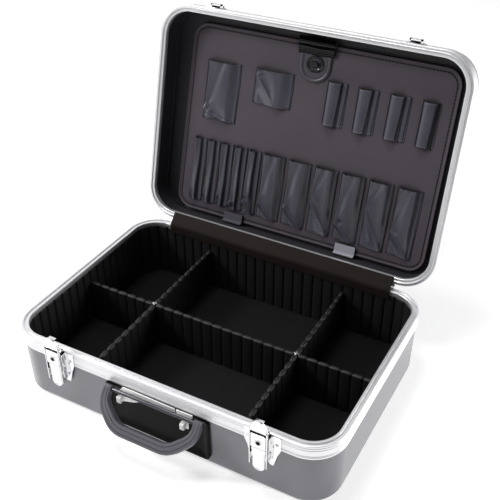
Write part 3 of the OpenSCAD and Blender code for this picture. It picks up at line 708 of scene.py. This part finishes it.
def pocket_sheet(name, low, high, depth, fold, steep=0.1, flat=2 * MM, crumple=0.6, seed=1,
                 tube_share=1.0):
    """A pocket of soft vinyl, sewn down both sides and at the foot, and open at the top.
    Its left side stands up steeply and its face falls gently to the right seam. fold is (start height, end
    place): the sheet bends over a sharp crest that runs from its left side, at that share of its height, to
    that share of its width at the foot, and the corner below the crest is tucked in."""
    width, height = high[0] - low[0], high[1] - low[1]
    cols, rows = 49, 73
    s, t = np.meshgrid(np.linspace(0, 1, cols), np.linspace(0, 1, rows))
    chance = np.random.default_rng(seed)
    rim = flat / width
    u = np.clip((s - rim) / (tube_share * (1 - 2 * rim)), 0, 1)
    # the open tube's section: up at once on the left, over a round crown, then down to the right seam
    section = rise(u / steep) * (1 - rise((u - 0.72) / 0.28)) * (1 - 0.3 * u)
    z = depth * section * (0.86 + 0.14 * t)
    start, end = fold
    span = max(end - rim, 0.05)
    crest = start * (1 - np.clip((s - rim) / span, 0, 1))
    across = (t - crest) * height / math.hypot(1, start * height / (span * width))
    tucked = (across < 0) & (s < end + rim)
    inside = np.clip(-across / (0.3 * start * height + 2.5 * MM), 0, 1)
    crest_z = depth * np.clip(1.15 - 0.85 * (s - rim) / span, 0.16, 1.15) * rise(u / (steep * 0.8))
    swell = np.exp(-(across / (12 * MM)) ** 2) * rise((end - s) * 6)
    z = np.where(tucked, crest_z * (1 - 0.93 * rise(inside ** 0.75)), z * (1 - swell) + crest_z * swell)
    on_fold = rise((s - rim) * 8) * rise((end - s) * 8)
    z += 1.7 * MM * np.exp(-np.abs(across) / (1.3 * MM)) * on_fold
    # a soft valley runs from the middle of the mouth down to the start of the crest
    valley = np.exp(-(((s - 0.14 - 0.36 * np.clip((t - start) / (1 - start), 0, 1)) * width) / (5 * MM)) ** 2)
    z -= 2.4 * MM * valley * rise((t - start) * 4) * section
    # crumples where the crest starts
    near = np.exp(-(((s - rim - 0.1) * width) ** 2 + ((t - start * 0.9) * height) ** 2) / (7.5 * MM) ** 2)
    for _ in range(6):
        angle, phase = chance.uniform(0, math.pi), chance.uniform(0, 6.28)
        along = (s * width * math.cos(angle) + t * height * math.sin(angle)) / (2.3 * MM)
        z += crumple * 0.5 * MM * near * np.sin(along + phase) * rise(u / steep)
    for k in (1, 2):
        z += 0.3 * MM * np.sin(s * 6.28 * k + chance.uniform(0, 6.28) + 2.5 * t) * section
    z = np.maximum(z, 0.15 * MM)
    x = low[0] + s * width + 0.7 * MM * np.sin(t * 4 + seed) * (1 - t) * t * 4
    slant = 0.7 * MM * chance.uniform(-1, 1) * s * t
    y = low[1] + t * height - 1.5 * MM * np.sin(math.pi * s) * t ** 8 + slant
    return sheet_mesh(name, x, y, z + VINYL_T, POCKET)


def welt(name, points, radius, material):
    """A thin bound edge that follows points."""
    points = [Vector(point) for point in points]
    rings = []
    for i, point in enumerate(points):
        ahead = (points[min(i + 1, len(points) - 1)] - points[max(i - 1, 0)]).normalized()
        side = ahead.cross(Vector((0, 0, 1)))
        side = side.normalized() if side.length > 0.01 else Vector((1, 0, 0))
        above = side.cross(ahead)
        rings.append([point + radius * (math.cos(a) * side + math.sin(a) * above)
                      for a in np.linspace(0, 2 * math.pi, 8, endpoint=False)])
    return tube(name, rings, material, 60)


def developed(piece, high):
    """The flat size of a bent sheet: its cut width, from the area of one of its sides, and its height."""
    area = sum(face.area for face in piece.data.polygons) / 2
    return area / high, high


def pocket_group(name, pockets, nodes_replaced):
    """Pockets side by side in one strip of vinyl, with the stitches down their sides and across their feet."""
    sheets, trims, lines = [], [], []
    for i, pocket in enumerate(pockets):
        sheet = pocket_sheet(f"{name}_{i}", **pocket)
        by_height = sorted((v.co.copy() for v in sheet.data.vertices), key=lambda co: -co.z)
        edge = {}
        for co in by_height:
            column = round(co.x / (0.4 * MM))
            if co.y > pocket["high"][1] - 2.6 * MM and column not in edge:
                edge[column] = co
        mouth = [edge[k] for k in sorted(edge)][::2]
        sheets.append(sheet)
        # the welt's darker colour is painted shade along the mouth
        trims.append(welt(f"{name}_mouth_{i}", mouth, 0.5 * MM, MOUTH))
        low, high = pocket["low"], pocket["high"]
        for x in (low[0] + 0.9 * MM, high[0] - 0.9 * MM):
            lines.append([(x, low[1] + 2 * MM, 1.45 * MM), (x, high[1] - 1 * MM, 1.45 * MM)])
        foot = low[1] + 1 * MM
        lines.append([(low[0] + 1 * MM, foot, 1.5 * MM), (high[0] - 1 * MM, foot, 1.5 * MM)])
    trims.append(sewn(name + "_stitches", lines, THREAD, pitch=3.6 * MM, length=2.5 * MM, radius=0.4 * MM))
    strip = moved(join(name, sheets), ON_PANEL)
    trim = moved(join(name + "_trim", trims), ON_PANEL)
    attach(strip, "lid")
    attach(trim, "lid")
    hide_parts(*nodes_replaced)
    height = pockets[0]["high"][1] - pockets[0]["low"][1]
    width, height = developed(strip, height)


row_low, row_high = box_in(ON_PANEL, "narrow_pockets")
left_low, left_high = box_in(ON_PANEL, "wide_pockets_left")
wide_low, wide_high = box_in(ON_PANEL, "wide_pockets_left", "wide_pockets_right")
POCKET_D = row_high.z
NARROW, WIDE = 5, 6
# for each pocket: how far up its left side it is folded, and where the fold meets its foot
NARROW_FOLDS = ((0.09, 0.5), (0.07, 0.5), (0.09, 0.5), (0.12, 0.55), (0.23, 0.85))
WIDE_FOLDS = ((0.29, 0.84), (0.32, 0.93), (0.54, 0.93), (0.29, 0.86), (0.62, 0.95), (0.4, 0.9))
WIDE_CRUMPLES = (1.4, 0.8, 0.5, 1.6, 0.5, 1.6)
narrow_gap = 2.2 * MM
narrow_w = (row_high.x - row_low.x + narrow_gap) / NARROW - narrow_gap
narrow_x = [row_low.x + i * (narrow_w + narrow_gap) for i in range(NARROW)]
pocket_group("narrow_pouches", [
    dict(low=(x, row_low.y), high=(x + narrow_w, row_high.y), depth=POCKET_D * 0.97, fold=fold, seed=11 + i,
         crumple=1.2, flat=1.4 * MM, steep=0.2, tube_share=0.74)
    for i, (x, fold) in enumerate(zip(narrow_x, NARROW_FOLDS))], ["narrow_pockets"])
wide_pitch = (wide_high.x - wide_low.x - (left_high.x - left_low.x)) / 3
wide_w = left_high.x - left_low.x - 2 * wide_pitch
wide_x = [wide_low.x + i * wide_pitch for i in range(WIDE)]
pocket_group("wide_pouches", [
    dict(low=(x, row_low.y), high=(x + wide_w, row_high.y), depth=POCKET_D, fold=fold, seed=31 + i,
         crumple=crumple)
    for i, (x, fold, crumple) in enumerate(zip(wide_x, WIDE_FOLDS, WIDE_CRUMPLES))],
    ["wide_pockets_left", "wide_pockets_right"])
low, high = box_in(ON_PANEL, "large_pocket")
pocket_group("large_pouch", [
    dict(low=low, high=high, depth=POCKET_D, fold=(0.16, 0.8), crumple=2.2, seed=5, steep=0.08, flat=3 * MM)],
    ["large_pocket"])
low, high = box_in(ON_PANEL, "small_pocket")
pocket_group("small_pouch", [
    dict(low=low, high=high, depth=POCKET_D, fold=(0.92, 0.62), crumple=0.8, seed=6, steep=0.08, flat=3 * MM)],
    ["small_pocket"])


def tool_loops():
    """Four half-round sleeves of one strip of vinyl, open at both ends, with stitched bands between them."""
    low, high = box_in(ON_PANEL, "tool_loops")
    seam_w, count, loop_w = 3.2 * MM, 4, 19 * MM
    # shares of each loop's cloth: the left seam ends at the first, and the sleeve at the second
    seam_end, sleeve_end = 0.12, 0.74
    pitch = (high.x - low.x - loop_w - 2 * seam_w) / (count - 1)
    sheets, lines = [], []
    chance = np.random.default_rng(3)
    for i in range(count):
        left = low.x + seam_w + i * pitch
        band = 8.5 * MM if i < count - 1 else seam_w
        cols, rows = 49, 31
        s, t = np.meshgrid(np.linspace(0, 1, cols), np.linspace(0, 1, rows))
        slack = 1 - 0.2 * (1 - t) * chance.uniform(0.6, 1)
        wide = loop_w * slack
        a = np.clip((s - seam_end) / (sleeve_end - seam_end), 0, 1)
        sleeve = left + wide * (1 - np.cos(a * math.pi)) / 2
        after = left + wide + (s - sleeve_end) / (1 - sleeve_end) * (loop_w - wide + band)
        x = np.where(s < sleeve_end, sleeve, after)
        x = np.where(s < seam_end, left - seam_w + s / seam_end * seam_w, x)
        tall = (high.z - 0.4 * MM) * (0.86 + 0.14 * t)
        z = 0.2 * MM + tall * np.sin(a * math.pi) ** 0.75 * (1.08 - 0.3 * a)
        z = z + 0.3 * MM * np.sin(t * 7 + chance.uniform(0, 6)) * np.sin(a * math.pi)
        y = low.y + t * (high.y - low.y) - 0.8 * MM * np.sin(a * math.pi) * t ** 6
        y = y + chance.uniform(-1, 1) * MM
        sheets.append(sheet_mesh(f"loop_{i}", x, y, z + VINYL_T, POCKET))
        for k in (-seam_w * 0.5, loop_w + 1 * MM, loop_w + band - 0.9 * MM):
            lean = 0 if k < 0 else 1.2 * MM
            lines.append([(left + k - (1 - share) * lean, low.y + share * (high.y - low.y), 1.5 * MM)
                          for share in (0.01, 0.99)])
    thread = sewn("loop_stitches", lines, THREAD, pitch=3.6 * MM, length=2.5 * MM, radius=0.5 * MM)
    whole = moved(join("loops", sheets), ON_PANEL)
    trim = moved(thread, ON_PANEL)
    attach(whole, "lid")
    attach(trim, "lid")
    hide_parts("tool_loops")


tool_loops()


def flap():
    """The strap that holds the panel's top edge: black vinyl rolled over the edge, over a round grey tongue."""
    low, high = box_in(ON_PANEL, "panel_flap")
    middle, half = (low.x + high.x) / 2, (high.x - low.x) / 2
    length = high.y - low.y
    tongue = 0.86 * half
    cols, rows = 33, 61
    s, t = np.meshgrid(np.linspace(-1, 1, cols), np.linspace(0, 1, rows))
    down = (1 - t) * length
    end = length - tongue
    half_here = half + (tongue - half) * rise((down - 9 * MM) / (9 * MM))
    round_end = tongue * np.sqrt(np.clip(1 - ((down - end) / tongue) ** 2, 0.0, 1))
    half_here = np.where(down > end, round_end, half_here)
    x, y = middle + s * half_here, low.y + t * length
    edge = tongue - np.sqrt((x - middle) ** 2 + np.maximum(down - end, 0) ** 2)
    welted = 1 * MM * np.exp(-((edge - 2.4 * MM) / (1 * MM)) ** 2) * rise((down - 20 * MM) / (4 * MM))
    sheet = sheet_mesh("flap_sheet", x, y, high.z - 0.9 * MM + welted, TONGUE, thick=1.2 * MM)
    # the black roll lies over the tongue's upper end: a fat fold with a lip along its foot
    cols, rows = 41, 41
    s, t = np.meshgrid(np.linspace(-1, 1, cols), np.linspace(0, 1, rows))
    roll_length = 23 * MM
    down = t * roll_length
    side = half * (1.02 - 0.05 * t)
    bulge = 4.2 * MM * np.exp(-((down - 7 * MM) / (5.5 * MM)) ** 2)
    bulge = bulge + 1.3 * MM * np.exp(-((down - 17.5 * MM) / (2 * MM)) ** 2)
    sag = 0.7 * MM * np.sin(s * 4 + 1) * rise(t)
    roll = sheet_mesh("flap_roll", middle + s * side, high.y + 1.5 * MM - down - sag,
                      high.z + 0.3 * MM + bulge * (1 - 0.12 * s * s), FLAP, thick=1.2 * MM)
    arc_r = tongue - 5.4 * MM
    arc = [(middle + arc_r * math.cos(a), low.y + tongue - arc_r * math.sin(a), high.z - 0.6 * MM)
           for a in np.linspace(0, math.pi, 19)]
    side_top = high.y - 25 * MM
    line = [(arc[0][0], side_top, arc[0][2]), *arc, (arc[-1][0], side_top, arc[0][2])]
    thread = sewn("flap_stitches", [line], THREAD, pitch=3.2 * MM, length=2.2 * MM, radius=0.26 * MM)
    whole = moved(join("flap", [sheet, roll]), ON_PANEL)
    trim = moved(thread, ON_PANEL)
    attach(whole, "lid")
    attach(trim, "lid")
    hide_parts("panel_flap")


flap()


def oval_ring(name, width, height, profile, material):
    """A profile (inset, height) carried round a racetrack oval, closed underneath."""
    rings = []
    for inset, high in profile:
        wide, tall = width - 2 * inset, height - 2 * inset
        rings.append([(x, y, high) for x, y in outline(wide, tall, tall / 2 - WELD, 16)])
    return tube(name, rings, material, 30)


def turn_lock():
    """An oval escutcheon with a raised rim and a dished middle, and the bar that turns in it."""
    low, high = box_in(ON_PANEL, "turn_lock_plate")
    spot = Matrix.Translation(((low.x + high.x) / 2, (low.y + high.y) / 2, low.z))
    tall = high.z - low.z
    plate = oval_ring("lock_ring", high.x - low.x, high.y - low.y,
                      [(0, 0), (0, tall * 0.5), (0.5 * MM, tall * 1.1), (1.6 * MM, tall * 1.6),
                       (2.6 * MM, tall * 1.5), (3.4 * MM, tall * 0.8), (4.2 * MM, tall * 0.45),
                       (6.5 * MM, tall * 0.4)], KNOB)
    moved(plate, ON_PANEL @ spot)
    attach(plate, "lid")
    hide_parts("turn_lock_plate")
    low, high = box_in(ON_PANEL, "turn_lock_knob")
    spot = Matrix.Translation(((low.x + high.x) / 2, (low.y + high.y) / 2, low.z))
    tall = high.z - low.z
    boss = oval_ring("knob_boss", 8.4 * MM, 8.2 * MM,
                     [(0, 0), (0, tall * 0.45), (0.6 * MM, tall * 0.55), (3 * MM, tall * 0.6)], KNOB)
    bar = oval_ring("knob_bar", high.x - low.x, high.y - low.y,
                    [(0.3 * MM, tall * 0.5), (0, tall * 0.6), (0, tall * 0.85), (0.3 * MM, tall * 0.96),
                     (0.9 * MM, tall), (1.6 * MM, tall * 0.98)], KNOB)
    knob = moved(join("lock_knob", [boss, bar]), ON_PANEL @ spot)
    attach(knob, "turn_knob")
    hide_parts("turn_lock_knob")


turn_lock()

# ---------------------------------------------------------------- panel tapes and the strip over the hinge


def bent_strip(name, path, width, thickness, material, cols=12, wave=0.0, seed=1):
    """A strip of width along x that follows path, a list of (y, z)."""
    points = np.array(path)
    run = np.concatenate([[0], np.cumsum(np.linalg.norm(np.diff(points, axis=0), axis=1))])
    even = np.linspace(0, run[-1], 30)
    smooth = np.stack([np.interp(even, run, points[:, k]) for k in (0, 1)], 1)
    for _ in range(6):
        smooth[1:-1] = (smooth[:-2] + 2 * smooth[1:-1] + smooth[2:]) / 4
    chance = np.random.default_rng(seed)
    s = np.linspace(-width / 2, width / 2, cols)
    x = np.repeat(s[None, :], len(even), 0)
    lift = wave * np.sin(x / (31 * MM) + chance.uniform(0, 6)) * np.sin(np.pi * even / run[-1])[:, None]
    y = smooth[:, 0][:, None] + lift * 0.5
    z = smooth[:, 1][:, None] + lift
    return sheet_mesh(name, x, y, z, material, thick=thickness)


cover_low, cover_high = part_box("hinge_cover")
cover_w = cover_high.x - cover_low.x
cover_path = [(cover_low.y + 0.2 * MM, cover_low.z), (cover_low.y + 0.2 * MM, RIM - 3 * MM),
              (cover_low.y + 0.3 * MM, RIM + 1.6 * MM), (cover_high.y - 1.3 * MM, cover_high.z - 0.4 * MM)]
cover = bent_strip("hinge_strip", cover_path, cover_w, 1 * MM, STRIP, cols=90, wave=0.35 * MM, seed=4)
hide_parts("hinge_cover")
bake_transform(cover)


def panel_tapes():
    """The two tapes at the panel's foot, sewn to it and running down into the lid's rim."""
    low, high = box_in(LID, "panel_tabs")
    width = 31 * MM
    for side, material in ((-1, TAPE_DARK), (1, TAPE)):
        middle = (high.x - width / 2) * side
        foot = high.y
        path = [(low.y, high.z - 1.1 * MM), (low.y + 13 * MM, high.z - 1.8 * MM),
                (foot - 0.6 * MM, high.z - 7 * MM)]
        tape = bent_strip(f"tape_{'left' if side < 0 else 'right'}", path, width, 0.9 * MM, material, cols=9)
        moved(tape, LID @ Matrix.Translation((middle, 0, 0)))
        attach(tape, "lid")
        if side > 0:
            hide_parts("panel_tabs")


panel_tapes()

# ---------------------------------------------------------------- latches

LATCH_EDGE = 0.3 * MM
ARCH_FOOT = 106 * MM
# the black strips that paint the shade beside each lock body run between these heights
SLOT_FOOT, SLOT_TOP = 70 * MM, 98 * MM


def with_arch(hook, side):
    """The hook with its pressed, round-topped face."""
    low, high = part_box(f"latch_hook_{side}")
    middle, half, foot = (low.x + high.x) / 2, (high.x - low.x) / 2 - 1.2 * MM, ARCH_FOOT
    arch = [(half, 0), *[(half * math.cos(a), 4 * MM + (high.z - foot - 1.8 * MM) * math.sin(a))
                         for a in np.linspace(0, math.pi, 22)], (-half, 0)]
    rings = []
    for inset, y in ((0, 1.6 * MM), (0, 0.3 * MM), (0.3 * MM, 0), (1.5 * MM, 0), (1.9 * MM, 0.4 * MM),
                     (3.2 * MM, 0.45 * MM)):
        share = 1 - inset / half
        face_y, face_foot = low.y + 0.2 * MM + y, foot + inset * 0.6
        rings.append([(middle + u * share, face_y, face_foot + w * share) for u, w in arch])
    face = tube(f"hook_arch_{side}", rings, CHROME, 30)
    whole = join(f"hook_{side}", [hook, face])
    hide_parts(f"latch_hook_{side}")
    return whole


def with_loop(keeper, side):
    """The keeper with the raised loop that the hook catches, and a black block under it, painted shade in the
    gap.
    """
    low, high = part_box(f"keeper_{side}")
    x, y = (low.x + high.x) / 2, low.y + 3 * MM
    z = high.z - 1.2 * MM
    half, tall = 8.5 * MM, 4.6 * MM
    pieces = [keeper]
    inner = half - 2 * MM
    for left, right, foot, top in ((-half, half, tall - 1.5 * MM, tall), (-half, -inner, 0, tall),
                                   (inner, half, 0, tall)):
        pieces.append(bar("loop", (x + left, x + right), (z + foot, z + top), (y, y + 5 * MM), CHROME))
    # a black block under the loop: painted shade in the gap
    pieces.append(bar("gap", (x - half + 1.5 * MM, x + half - 1.5 * MM), (z, z + tall - 1 * MM),
                      (y + 1.6 * MM, y + 4.5 * MM), SHADE_BLACK))
    whole = join(f"catch_{side}", pieces)
    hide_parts(f"keeper_{side}")
    return whole


def lever(side):
    """The lever: a plate across the body's foot that narrows to a round-ended tongue, dished for the thumb."""
    low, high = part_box(f"latch_lever_{side}")
    middle, half = (low.x + high.x) / 2, (high.x - low.x) / 2
    neck, r = half * 0.99, half * 0.8
    shape = [(neck, high.z), (neck, high.z - 3 * MM), (r + 0.4 * MM, high.z - 7 * MM),
             (r, high.z - 11 * MM)]
    shape += [(r * math.cos(a), low.z + r - r * math.sin(a)) for a in np.linspace(0, math.pi / 2, 12)]
    shape += [(-x, z) for x, z in reversed(shape[:-1])]
    centre = (high.z + low.z) / 2
    rings = []
    for inset, y in ((0, high.y), (0, low.y + 0.4 * MM), (0.4 * MM, low.y), (1.8 * MM, low.y),
                     (2.6 * MM, low.y + 0.5 * MM), (4 * MM, low.y + 0.7 * MM)):
        wide, tall = 1 - inset / half, 1 - inset / (high.z - centre)
        rings.append([(middle + u * wide, y, centre + (w - centre) * tall) for u, w in shape])
    made = tube(f"lever_{side}", rings, CHROME, 30)
    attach(made, f"lever_{side}")
    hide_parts(f"latch_lever_{side}")


def keyhole(side):
    """The lock's face: a plated ring round a dark, slightly dished core with the key's slot in it."""
    low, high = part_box(f"lock_cylinder_{side}")
    x, z = (low.x + high.x) / 2, (low.z + high.z) / 2
    radius = (high.x - low.x) / 2
    deep, face = high.y, low.y
    round_it = np.linspace(0, 2 * math.pi, 40, endpoint=False)

    def turned(name, steps, material):
        """A body turned about the lock's axis, through steps of (radius, depth)."""
        return tube(name, [[(x + r * math.cos(a), y, z + r * math.sin(a)) for a in round_it] for r, y in steps],
                    material, 30)

    shank = turned(f"cylinder_shank_{side}", [
        (radius, deep), (radius, face + 0.3 * MM), (radius - 0.3 * MM, face), (radius - 1.1 * MM, face),
        (radius - 1.3 * MM, face + 0.9 * MM)], CHROME)
    core = turned(f"cylinder_core_{side}", [
        (radius - 1.3 * MM, face + 1 * MM), (radius - 1.4 * MM, face + 0.5 * MM),
        (radius - 2 * MM, face + 0.35 * MM), (radius - 2.6 * MM, face + 0.9 * MM)], DARK_CORE)
    # the key's slot is a black wedge on the face: painted shade of the hole
    key = [(-1.5, 0.6), (1.5, 0.6), (0, -3.3)]
    slot = tube(f"key_slot_{side}", [[(x + u * MM, y, z + w * MM) for u, w in key]
                                     for y in (face + 0.9 * MM, face + 0.25 * MM)], SHADE_BLACK, 30)
    whole = join(f"key_cylinder_{side}", [shank, core, slot])
    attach(whole, f"cylinder_{side}")
    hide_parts(f"lock_cylinder_{side}")


def gap_shade(side):
    """Painted shade: a black block behind the gap between the lock body and the hook's arch, and black strips
    beside the body.
    """
    low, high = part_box(f"lock_body_{side}")
    half = (high.x - low.x) / 2 - 0.5 * MM
    x = (low.x + high.x) / 2
    shade_block = bar(f"latch_gap_shade_{side}", (x - half, x + half), (high.z - 1 * MM, high.z + 2.6 * MM),
                 (low.y + 3.4 * MM, low.y + 0.9 * MM), SHADE_BLACK)
    edges = []
    # thin black strips down both sides of the body: painted shade in the slots
    for turn in (-1, 1):
        at = x + turn * (half + 0.75 * MM)
        edges.append(bar("edge", (at - 0.35 * MM, at + 0.35 * MM), (SLOT_FOOT, SLOT_TOP),
                         (high.y + 1 * MM, low.y + 0.5 * MM), SHADE_BLACK))
    made = join(f"latch_shade_{side}", [shade_block, *edges])
    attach(made, "case")


for side in ("left", "right"):
    for part in ("latch_plate", "lock_body"):
        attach(cad_copy(f"{part}_{side}", CHROME, bevel=LATCH_EDGE), "case")
    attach(with_arch(cad_copy(f"latch_hook_{side}", CHROME, bevel=LATCH_EDGE), side), f"hook_{side}")
    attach(with_loop(cad_copy(f"keeper_{side}", CHROME, bevel=LATCH_EDGE), side), "lid")
    keyhole(side)
    lever(side)
    gap_shade(side)

# ---------------------------------------------------------------- handle

REACH, HALF_W = 49 * MM, 70 * MM
rod_low, rod_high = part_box("handle_rod")
ROD = Vector((0, (rod_low.y + rod_high.y) / 2, (rod_low.z + rod_high.z) / 2))
HANG = math.radians(-40)
HANDLE = Matrix.Translation(ROD) @ Matrix.Rotation(HANG, 4, "X")


def rounded_path(corners, radius, steps=7):
    """A polyline through corners, with each inner corner rounded off."""
    path = [corners[0]]
    for before, corner, after in zip(corners, corners[1:], corners[2:]):
        into = (before - corner).normalized() * radius
        out = (after - corner).normalized() * radius
        path += [corner + into * (1 - k) ** 2 + out * k ** 2 for k in np.linspace(0, 1, steps)]
    return path + [corners[-1]]


def bail():
    """The carrying handle: flat arms, long slanted shoulders and a faceted grip with grooves along it."""
    arm, grip = 11 * MM, 14 * MM
    side_x, grip_z = HALF_W - arm / 2, -(REACH - grip / 2)
    corners = [(side_x, 4.2 * MM), (side_x, -18 * MM), (38 * MM, grip_z), (0, grip_z)]
    half = rounded_path([Vector(corner) for corner in corners], 12 * MM)
    dense = []
    for start, end in zip(half, half[1:]):
        count = max(1, round((end - start).length / (2.5 * MM)))
        dense += [start.lerp(end, k / count) for k in range(count)]
    dense.append(half[-1])
    path = np.array([tuple(p) for p in dense] + [(-p.x, p.y) for p in reversed(dense[:-1])])
    # two grooves run along each face of the bar
    face = [(-1, -0.7), (-0.86, -0.97), (-0.46, -1), (-0.4, -0.86), (-0.34, -1), (0.34, -1), (0.4, -0.86),
            (0.46, -1), (0.86, -0.97), (1, -0.7)]
    section = face + [(u, -v) for u, v in reversed(face)]
    rings = []
    for i, spot in enumerate(path):
        ahead = path[min(i + 1, len(path) - 1)] - path[max(i - 1, 0)]
        ahead = ahead / np.linalg.norm(ahead)
        across = np.array([ahead[1], -ahead[0]])
        share = float(rise((-spot[1] - 6 * MM) / (REACH * 0.62)))
        wide = arm / 2 + (grip - arm) / 2 * share
        thick = 4.4 * MM + 2.1 * MM * share
        end = min(i, len(path) - 1 - i)
        shrink = (0.8, 0.97, 1)[end] if end < 3 else 1
        rings.append([(spot[0] + across[0] * u * wide, v * thick * shrink, spot[1] + across[1] * u * wide)
                      for u, v in section])
    made = moved(tube("bail", rings, HANDLE_GREY, 22), HANDLE)
    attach(made, "handle")
    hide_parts("handle")


def plate_shape(name, points, y_front, y_back, material, bevel):
    """A flat plate cut to an outline of (x, z) points."""
    made = tube(name, [[(x * MM, y, z * MM) for x, z in points] for y in (y_back, y_front)], material, 30)
    soften(made, bevel)
    sharpen(made, 30)
    return made


def bracket():
    """The plated hanger behind the rod: a faceted left end, a long bar, a notch and a right tongue."""
    low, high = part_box("handle_bracket")
    front = high.y - 1.5 * MM
    left = [(-46, 79.5), (-52.8, 70), (-53.8, 58), (-47.5, 55.4), (-31, 60.5), (-19, 67), (25, 65.8),
            (29, 71.5), (29, 78.5), (-24, 79.5)]
    right = [(30.8, 78.5), (31.4, 72.5), (38.5, 65.5), (37.8, 54.5), (47, 53.4), (47.9, 66.5), (53.5, 75),
             (53.5, 79)]
    pieces = [plate_shape("hanger_left", left, front, front + 1.3 * MM, HANGER, 0.5 * MM),
              plate_shape("hanger_right", right, front, front + 1.3 * MM, HANGER, 0.5 * MM)]
    facet = [(-44, 76.5), (-50.5, 69), (-51, 60.5), (-46.5, 58.2), (-33, 63), (-30, 76)]
    pieces.append(plate_shape("hanger_facet", facet, front - 0.5 * MM, front + 0.5 * MM, HANGER, 0.45 * MM))
    for x, foot in ((-48, 59), (43, 58)):
        block = [(x - 3, foot + 9), (x - 3, foot), (x + 3, foot), (x + 3, foot + 9)]
        pieces.append(plate_shape("hanger_block", block, low.y + 0.3 * MM, front + 0.5 * MM, HANGER,
                                  0.4 * MM))
    whole = join("bracket", pieces)
    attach(whole, "case")
    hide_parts("handle_bracket")


def back_plate():
    """The black plate behind the handle: a thick rim round a scooped hollow for the fingers."""
    low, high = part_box("handle_plate")
    half_w, half_h = (high.x - low.x) / 2, (high.z - low.z) / 2
    middle = Vector(((high.x + low.x) / 2, 0, (high.z + low.z) / 2))
    front, deep = low.y, high.y
    profile = [(0, deep), (0, front + 0.8 * MM), (0.8 * MM, front), (3 * MM, front),
               (4.5 * MM, front + 0.5 * MM), (7 * MM, front + 1.5 * MM), (11 * MM, front + 2.1 * MM),
               (16 * MM, front + 2.3 * MM), (24 * MM, front + 2.4 * MM)]
    rings = []
    for inset, y in profile:
        ring = outline(2 * (half_w - inset), 2 * (half_h - inset), max(6 * MM - inset, 1.5 * MM), 6)
        rings.append([(middle.x + u, y, middle.z + w) for u, w in ring])
    made = tube("back_plate", rings, HANDLE_BLACK, 40)
    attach(made, "case")
    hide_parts("handle_plate")


bail()
bracket()
back_plate()
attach(cad_copy("handle_rod", DARK_STEEL, bevel=0.4 * MM), "case")

# ---------------------------------------------------------------- camera, light and ground
# the camera looks down on the case from its right front corner
CAMERA_LENS = 59.16
CAMERA_AT = Vector((438.9, -730.7, 778.4)) * MM
azimuth, elevation = math.radians(28.532), math.radians(34.2585)
camera_data = bpy.data.cameras.new("camera")
camera_data.lens = CAMERA_LENS
camera_data.sensor_width = 36
camera = bpy.data.objects.new("camera", camera_data)
bpy.context.scene.collection.objects.link(camera)
back = Vector((math.sin(azimuth) * math.cos(elevation), -math.cos(azimuth) * math.cos(elevation),
               math.sin(elevation)))
right = Vector((math.cos(azimuth), math.sin(azimuth), 0))
up = back.cross(right)
turn = Matrix((right, up, back)).transposed()
camera.matrix_world = Matrix.Translation(CAMERA_AT) @ turn.to_4x4()
camera_data.clip_start = 0.01
bpy.context.scene.camera = camera
bpy.context.scene.view_settings.view_transform = "Standard"


def area_light(name, place, aim, size, watts):
    data = bpy.data.lights.new(name, "AREA")
    data.shape = "DISK"
    data.size = size
    data.energy = watts
    made = bpy.data.objects.new(name, data)
    bpy.context.scene.collection.objects.link(made)
    made.location = place
    made.rotation_euler = (Vector(aim) - Vector(place)).to_track_quat("-Z", "Y").to_euler()
    return made


area_light("key", (-1.7, -0.9, 1.6), (0, 0.1, 0.15), 0.6, 34)
area_light("top", (-0.4, -0.1, 2.4), (0, 0.05, 0.1), 0.8, 22)
area_light("side", (1.9, 1.0, 0.6), (0.1, 0, 0.05), 1.2, 36)

# mirrors see a studio that is bright above and to the left and darker in front
world = bpy.data.worlds.new("studio")
bpy.context.scene.world = world
world.use_nodes = True
tree = world.node_tree
tree.nodes.clear()
path = add_node(tree, "ShaderNodeLightPath")
heading = add_node(tree, "ShaderNodeTexCoord").outputs["Generated"]
BRIGHT_SIDE = (-0.72, 0.1, 0.68)
slope = add_node(tree, "ShaderNodeVectorMath", {"operation": "DOT_PRODUCT", 1: BRIGHT_SIDE}, {0: heading})
seen = add_node(tree, "ShaderNodeMapRange",
                {"From Min": 0.1, "From Max": 0.8, "To Min": 0.12, "To Max": 1.0,
                 "interpolation_type": "SMOOTHSTEP"}, {"Value": slope.outputs["Value"]})
glossy = add_node(tree, "ShaderNodeMapRange", {"To Min": 0.15},
                  {"Value": path.outputs["Is Glossy Ray"], "To Max": seen.outputs["Result"]})
strength = add_node(tree, "ShaderNodeMath", {"operation": "MAXIMUM"},
                    {0: path.outputs["Is Camera Ray"], 1: glossy.outputs["Result"]})
sky = add_node(tree, "ShaderNodeBackground", {"Color": (1, 1, 1, 1)}, {"Strength": strength.outputs[0]})
add_node(tree, "ShaderNodeOutputWorld", links={"Surface": sky.outputs[0]})

floor_paint, tree = new_material("pale_floor")
cloth = add_node(tree, "ShaderNodeBsdfDiffuse", {"Color": (0.75, 0.75, 0.75, 1)})
glow = add_node(tree, "ShaderNodeEmission", {"Color": (1, 1, 1, 1), "Strength": 0.58})
both = add_node(tree, "ShaderNodeAddShader", links={0: cloth.outputs[0], 1: glow.outputs[0]})
close_material(tree, both)
reach = 6
ground = mesh_object("floor",
                     [(-reach, -reach, 0), (reach, -reach, 0), (reach, reach, 0), (-reach, reach, 0)],
                     [(0, 1, 2, 3)], smooth=False)
ground.data.materials.append(floor_paint)
